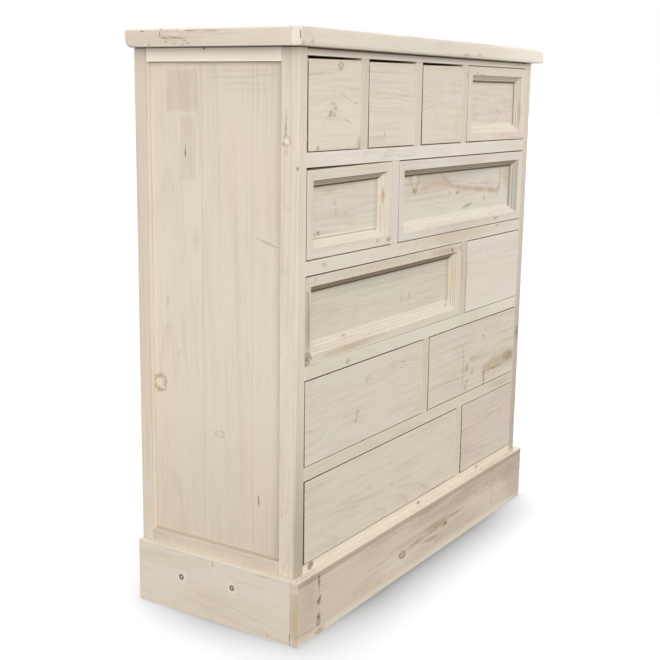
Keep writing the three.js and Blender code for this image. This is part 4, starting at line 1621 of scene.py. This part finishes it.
def dress_panelled_front(key, front, shape, board):
    """Four mitred frame members, four mitred mouldings and a sunk panel."""
    upright_board = board._replace(along="z", seed=board.seed + 1)
    shade_and_grime_seams = shape.gap_shade_and_grime()
    level = limed(f"drawer_{key}_level_limed", board, front.colour, front.marks, shade_and_grime_seams, "y")
    upright = limed(f"drawer_{key}_upright_limed", upright_board, front.colour, front.marks, shade_and_grime_seams, "y")
    foot = shape.moulding_foot()
    for side, word in enumerate(SIDE_WORDS):
        finish, cut_from = (upright, upright_board) if word in UPRIGHT_WORDS else (level, board)
        front_piece(key, f"frame_{word}", shape.strip(side, frame_section(), FRAME_MITRE), finish)
        trim, pale = front_trim(front, word)
        seams = moulding_seams(trim)
        # Painted shade at the foot of the moulding over the panel, weaker where top_light is high
        if word == "top":
            strength = 0.95 - 0.3 * front.top_light
            seams = seams + (seam_between(foot[2], foot[3], 4.4, TOP_FOOT_SHADE, strength),)
        cut_from = cut_from._replace(seed=board.seed + 3 + side)
        finish = limed(f"drawer_{key}_{word}_limed", cut_from, pale, front.marks, seams, "")
        skin = shape.strip(side, moulding_section(), MOULDING_MITRE)
        front_piece(key, f"moulding_{word}", skin, finish)
    cool = scaled(front.colour, 0.97, 0.98, 0.965)
    panel_board = board._replace(seed=board.seed + 2)
    shade_and_grime_seams = shape.panel_shade_and_grime()
    finish = limed(f"drawer_{key}_panel_limed", panel_board, cool, front.panel_marks, shade_and_grime_seams, "", LIVELY)
    behind = PANEL_RECESS + FACE_CLEARANCE
    skin = shape.block(FRAME_WIDTH + PANEL_CLEARANCE, behind, PANEL_REAR, PANEL_EASING)
    front_piece(key, "panel", skin, finish)


def dress_drawer(key, front):
    row, place = key.split("_")
    seed = 600 + 17 * int(row) + 5 * int(place)
    board = node_board(f"drawer_{key}_front", "x", "y", seed)
    dress_front = dress_panelled_front if front.style == "panelled" else dress_flat_front
    dress_front(key, front, FrontShape(key, front), board)
    dress_bare(f"drawer_{key}_box", "y", "x", seed + 9, 0.7)


# Stage

def make_camera():
    lens = bpy.data.cameras.new("camera")
    lens.sensor_width = SENSOR_WIDTH
    lens.lens = SENSOR_WIDTH * FOCAL_PIXELS / PICTURE_PIXELS
    camera = bpy.data.objects.new("camera", lens)
    turn = Matrix((EYE_RIGHT, EYE_UP, EYE_BACK)).transposed()
    camera.matrix_world = Matrix.Translation(EYE) @ turn.to_4x4()
    bpy.context.scene.collection.objects.link(camera)
    bpy.context.scene.camera = camera


def make_sun(name, towards, strength, spread):
    """A broad, even light that shines along a direction."""
    lamp = bpy.data.lights.new(name, "SUN")
    lamp.energy = strength
    lamp.angle = math.radians(spread)
    sun = bpy.data.objects.new(name, lamp)
    sun.rotation_euler = Vector(towards).to_track_quat("-Z", "Y").to_euler()
    bpy.context.scene.collection.objects.link(sun)


WHITE = (1, 1, 1, 1)
HORIZON_LEVEL = 0.95
ZENITH_LEVEL = 0.4
FLOOR_REACH = 60.0

# The floor's own glow, which a painted soft shadow takes away near the chest, and how far that painted
# shadow
# reaches: from under the chest outwards, close beside it, and at its front left corner
FLOOR_GLOW = 0.70
SHADOW_START = -300 * MM
SHADOW_BEFORE_START = -200 * MM
SHADOW_END = 150 * MM
TOUCH_REACH = 9 * MM
CORNER_REACH = 120 * MM
FRONT_LEFT_CORNER = (-0.5, -0.2, 0.0)


def make_world():
    """A studio that is white where it is seen, and that lights mostly from the sides."""
    world = bpy.data.worlds.new("studio")
    bpy.context.scene.world = world
    graph = Graph(world)
    up = graph.most(graph.parts(graph.node("TexCoord", output="Generated"))[2], 0.0)
    level = HORIZON_LEVEL - up * (HORIZON_LEVEL - ZENITH_LEVEL)
    seen = graph.seen()
    sockets = {"Color": WHITE, "Strength": seen + (1 - seen) * level}
    graph.finish(graph.node("Background", None, sockets), "OutputWorld")


def make_floor():
    """A pale floor that shows the lamps' shadow of the chest, with a painted soft shadow near it, and is
    white further off.
    """
    graph = Graph(bpy.data.materials.new("floor_pale"))
    x, y, _ = graph.parts(graph.node("TexCoord", output="Object"))
    # Painted soft shadow: the glow fades under and beside the chest, close to its foot and at its front left
    # corner
    beside = abs(x) - abs(PLINTH_X)
    before = abs(y - (PLINTH_Y + REAR_Y) / 2) - (REAR_Y - PLINTH_Y) / 2
    across = graph.fade(beside, SHADOW_START, SHADOW_END)
    shade = across * graph.fade(before, SHADOW_BEFORE_START, SHADOW_END)
    touch = graph.math("EXPONENT", graph.most(graph.most(beside, before), 0.0) * (-1 / TOUCH_REACH))
    place = graph.node("TexCoord", output="Object")
    from_corner = graph.vector("DISTANCE", place, FRONT_LEFT_CORNER, output=1)
    corner = graph.math("EXPONENT", from_corner * (-1 / CORNER_REACH))
    glow_level = graph.most(FLOOR_GLOW - shade * 1.5 - touch * 0.12 - corner * 0.12, 0.0)
    glow = graph.node("Emission", None, {"Color": WHITE, "Strength": glow_level * graph.seen()})
    matt = graph.node("BsdfDiffuse", None, {"Color": tone(166, 168, 171)})
    graph.finish(graph.node("AddShader", None, {0: matt, 1: glow}))
    corners = [(x * FLOOR_REACH, y * FLOOR_REACH, 0) for x, y in ((-1, -1), (1, -1), (1, 1), (-1, 1))]
    mesh = bpy.data.meshes.new("floor")
    mesh.from_pydata(corners, [], [(0, 1, 2, 3)])
    mesh.materials.append(graph.owner)
    floor = bpy.data.objects.new("floor", mesh)
    bpy.context.scene.collection.objects.link(floor)


def main():
    dress_top()
    dress_sides()
    dress_front_frame()
    dress_plinth_front()
    dress_plinth_sides()
    dress_inside()
    dress_back()
    for key, front in FRONTS.items():
        dress_drawer(key, front)
    make_camera()
    make_sun("key", (0.71, 0.68, -0.20), 2.1, 50)
    make_sun("top", (0.05, 0.05, -1.0), 0.6, 60)
    make_sun("rear", (-0.69, -0.69, -0.22), 1.8, 70)
    make_world()
    make_floor()
    bpy.context.scene.view_settings.view_transform = "Standard"


main()
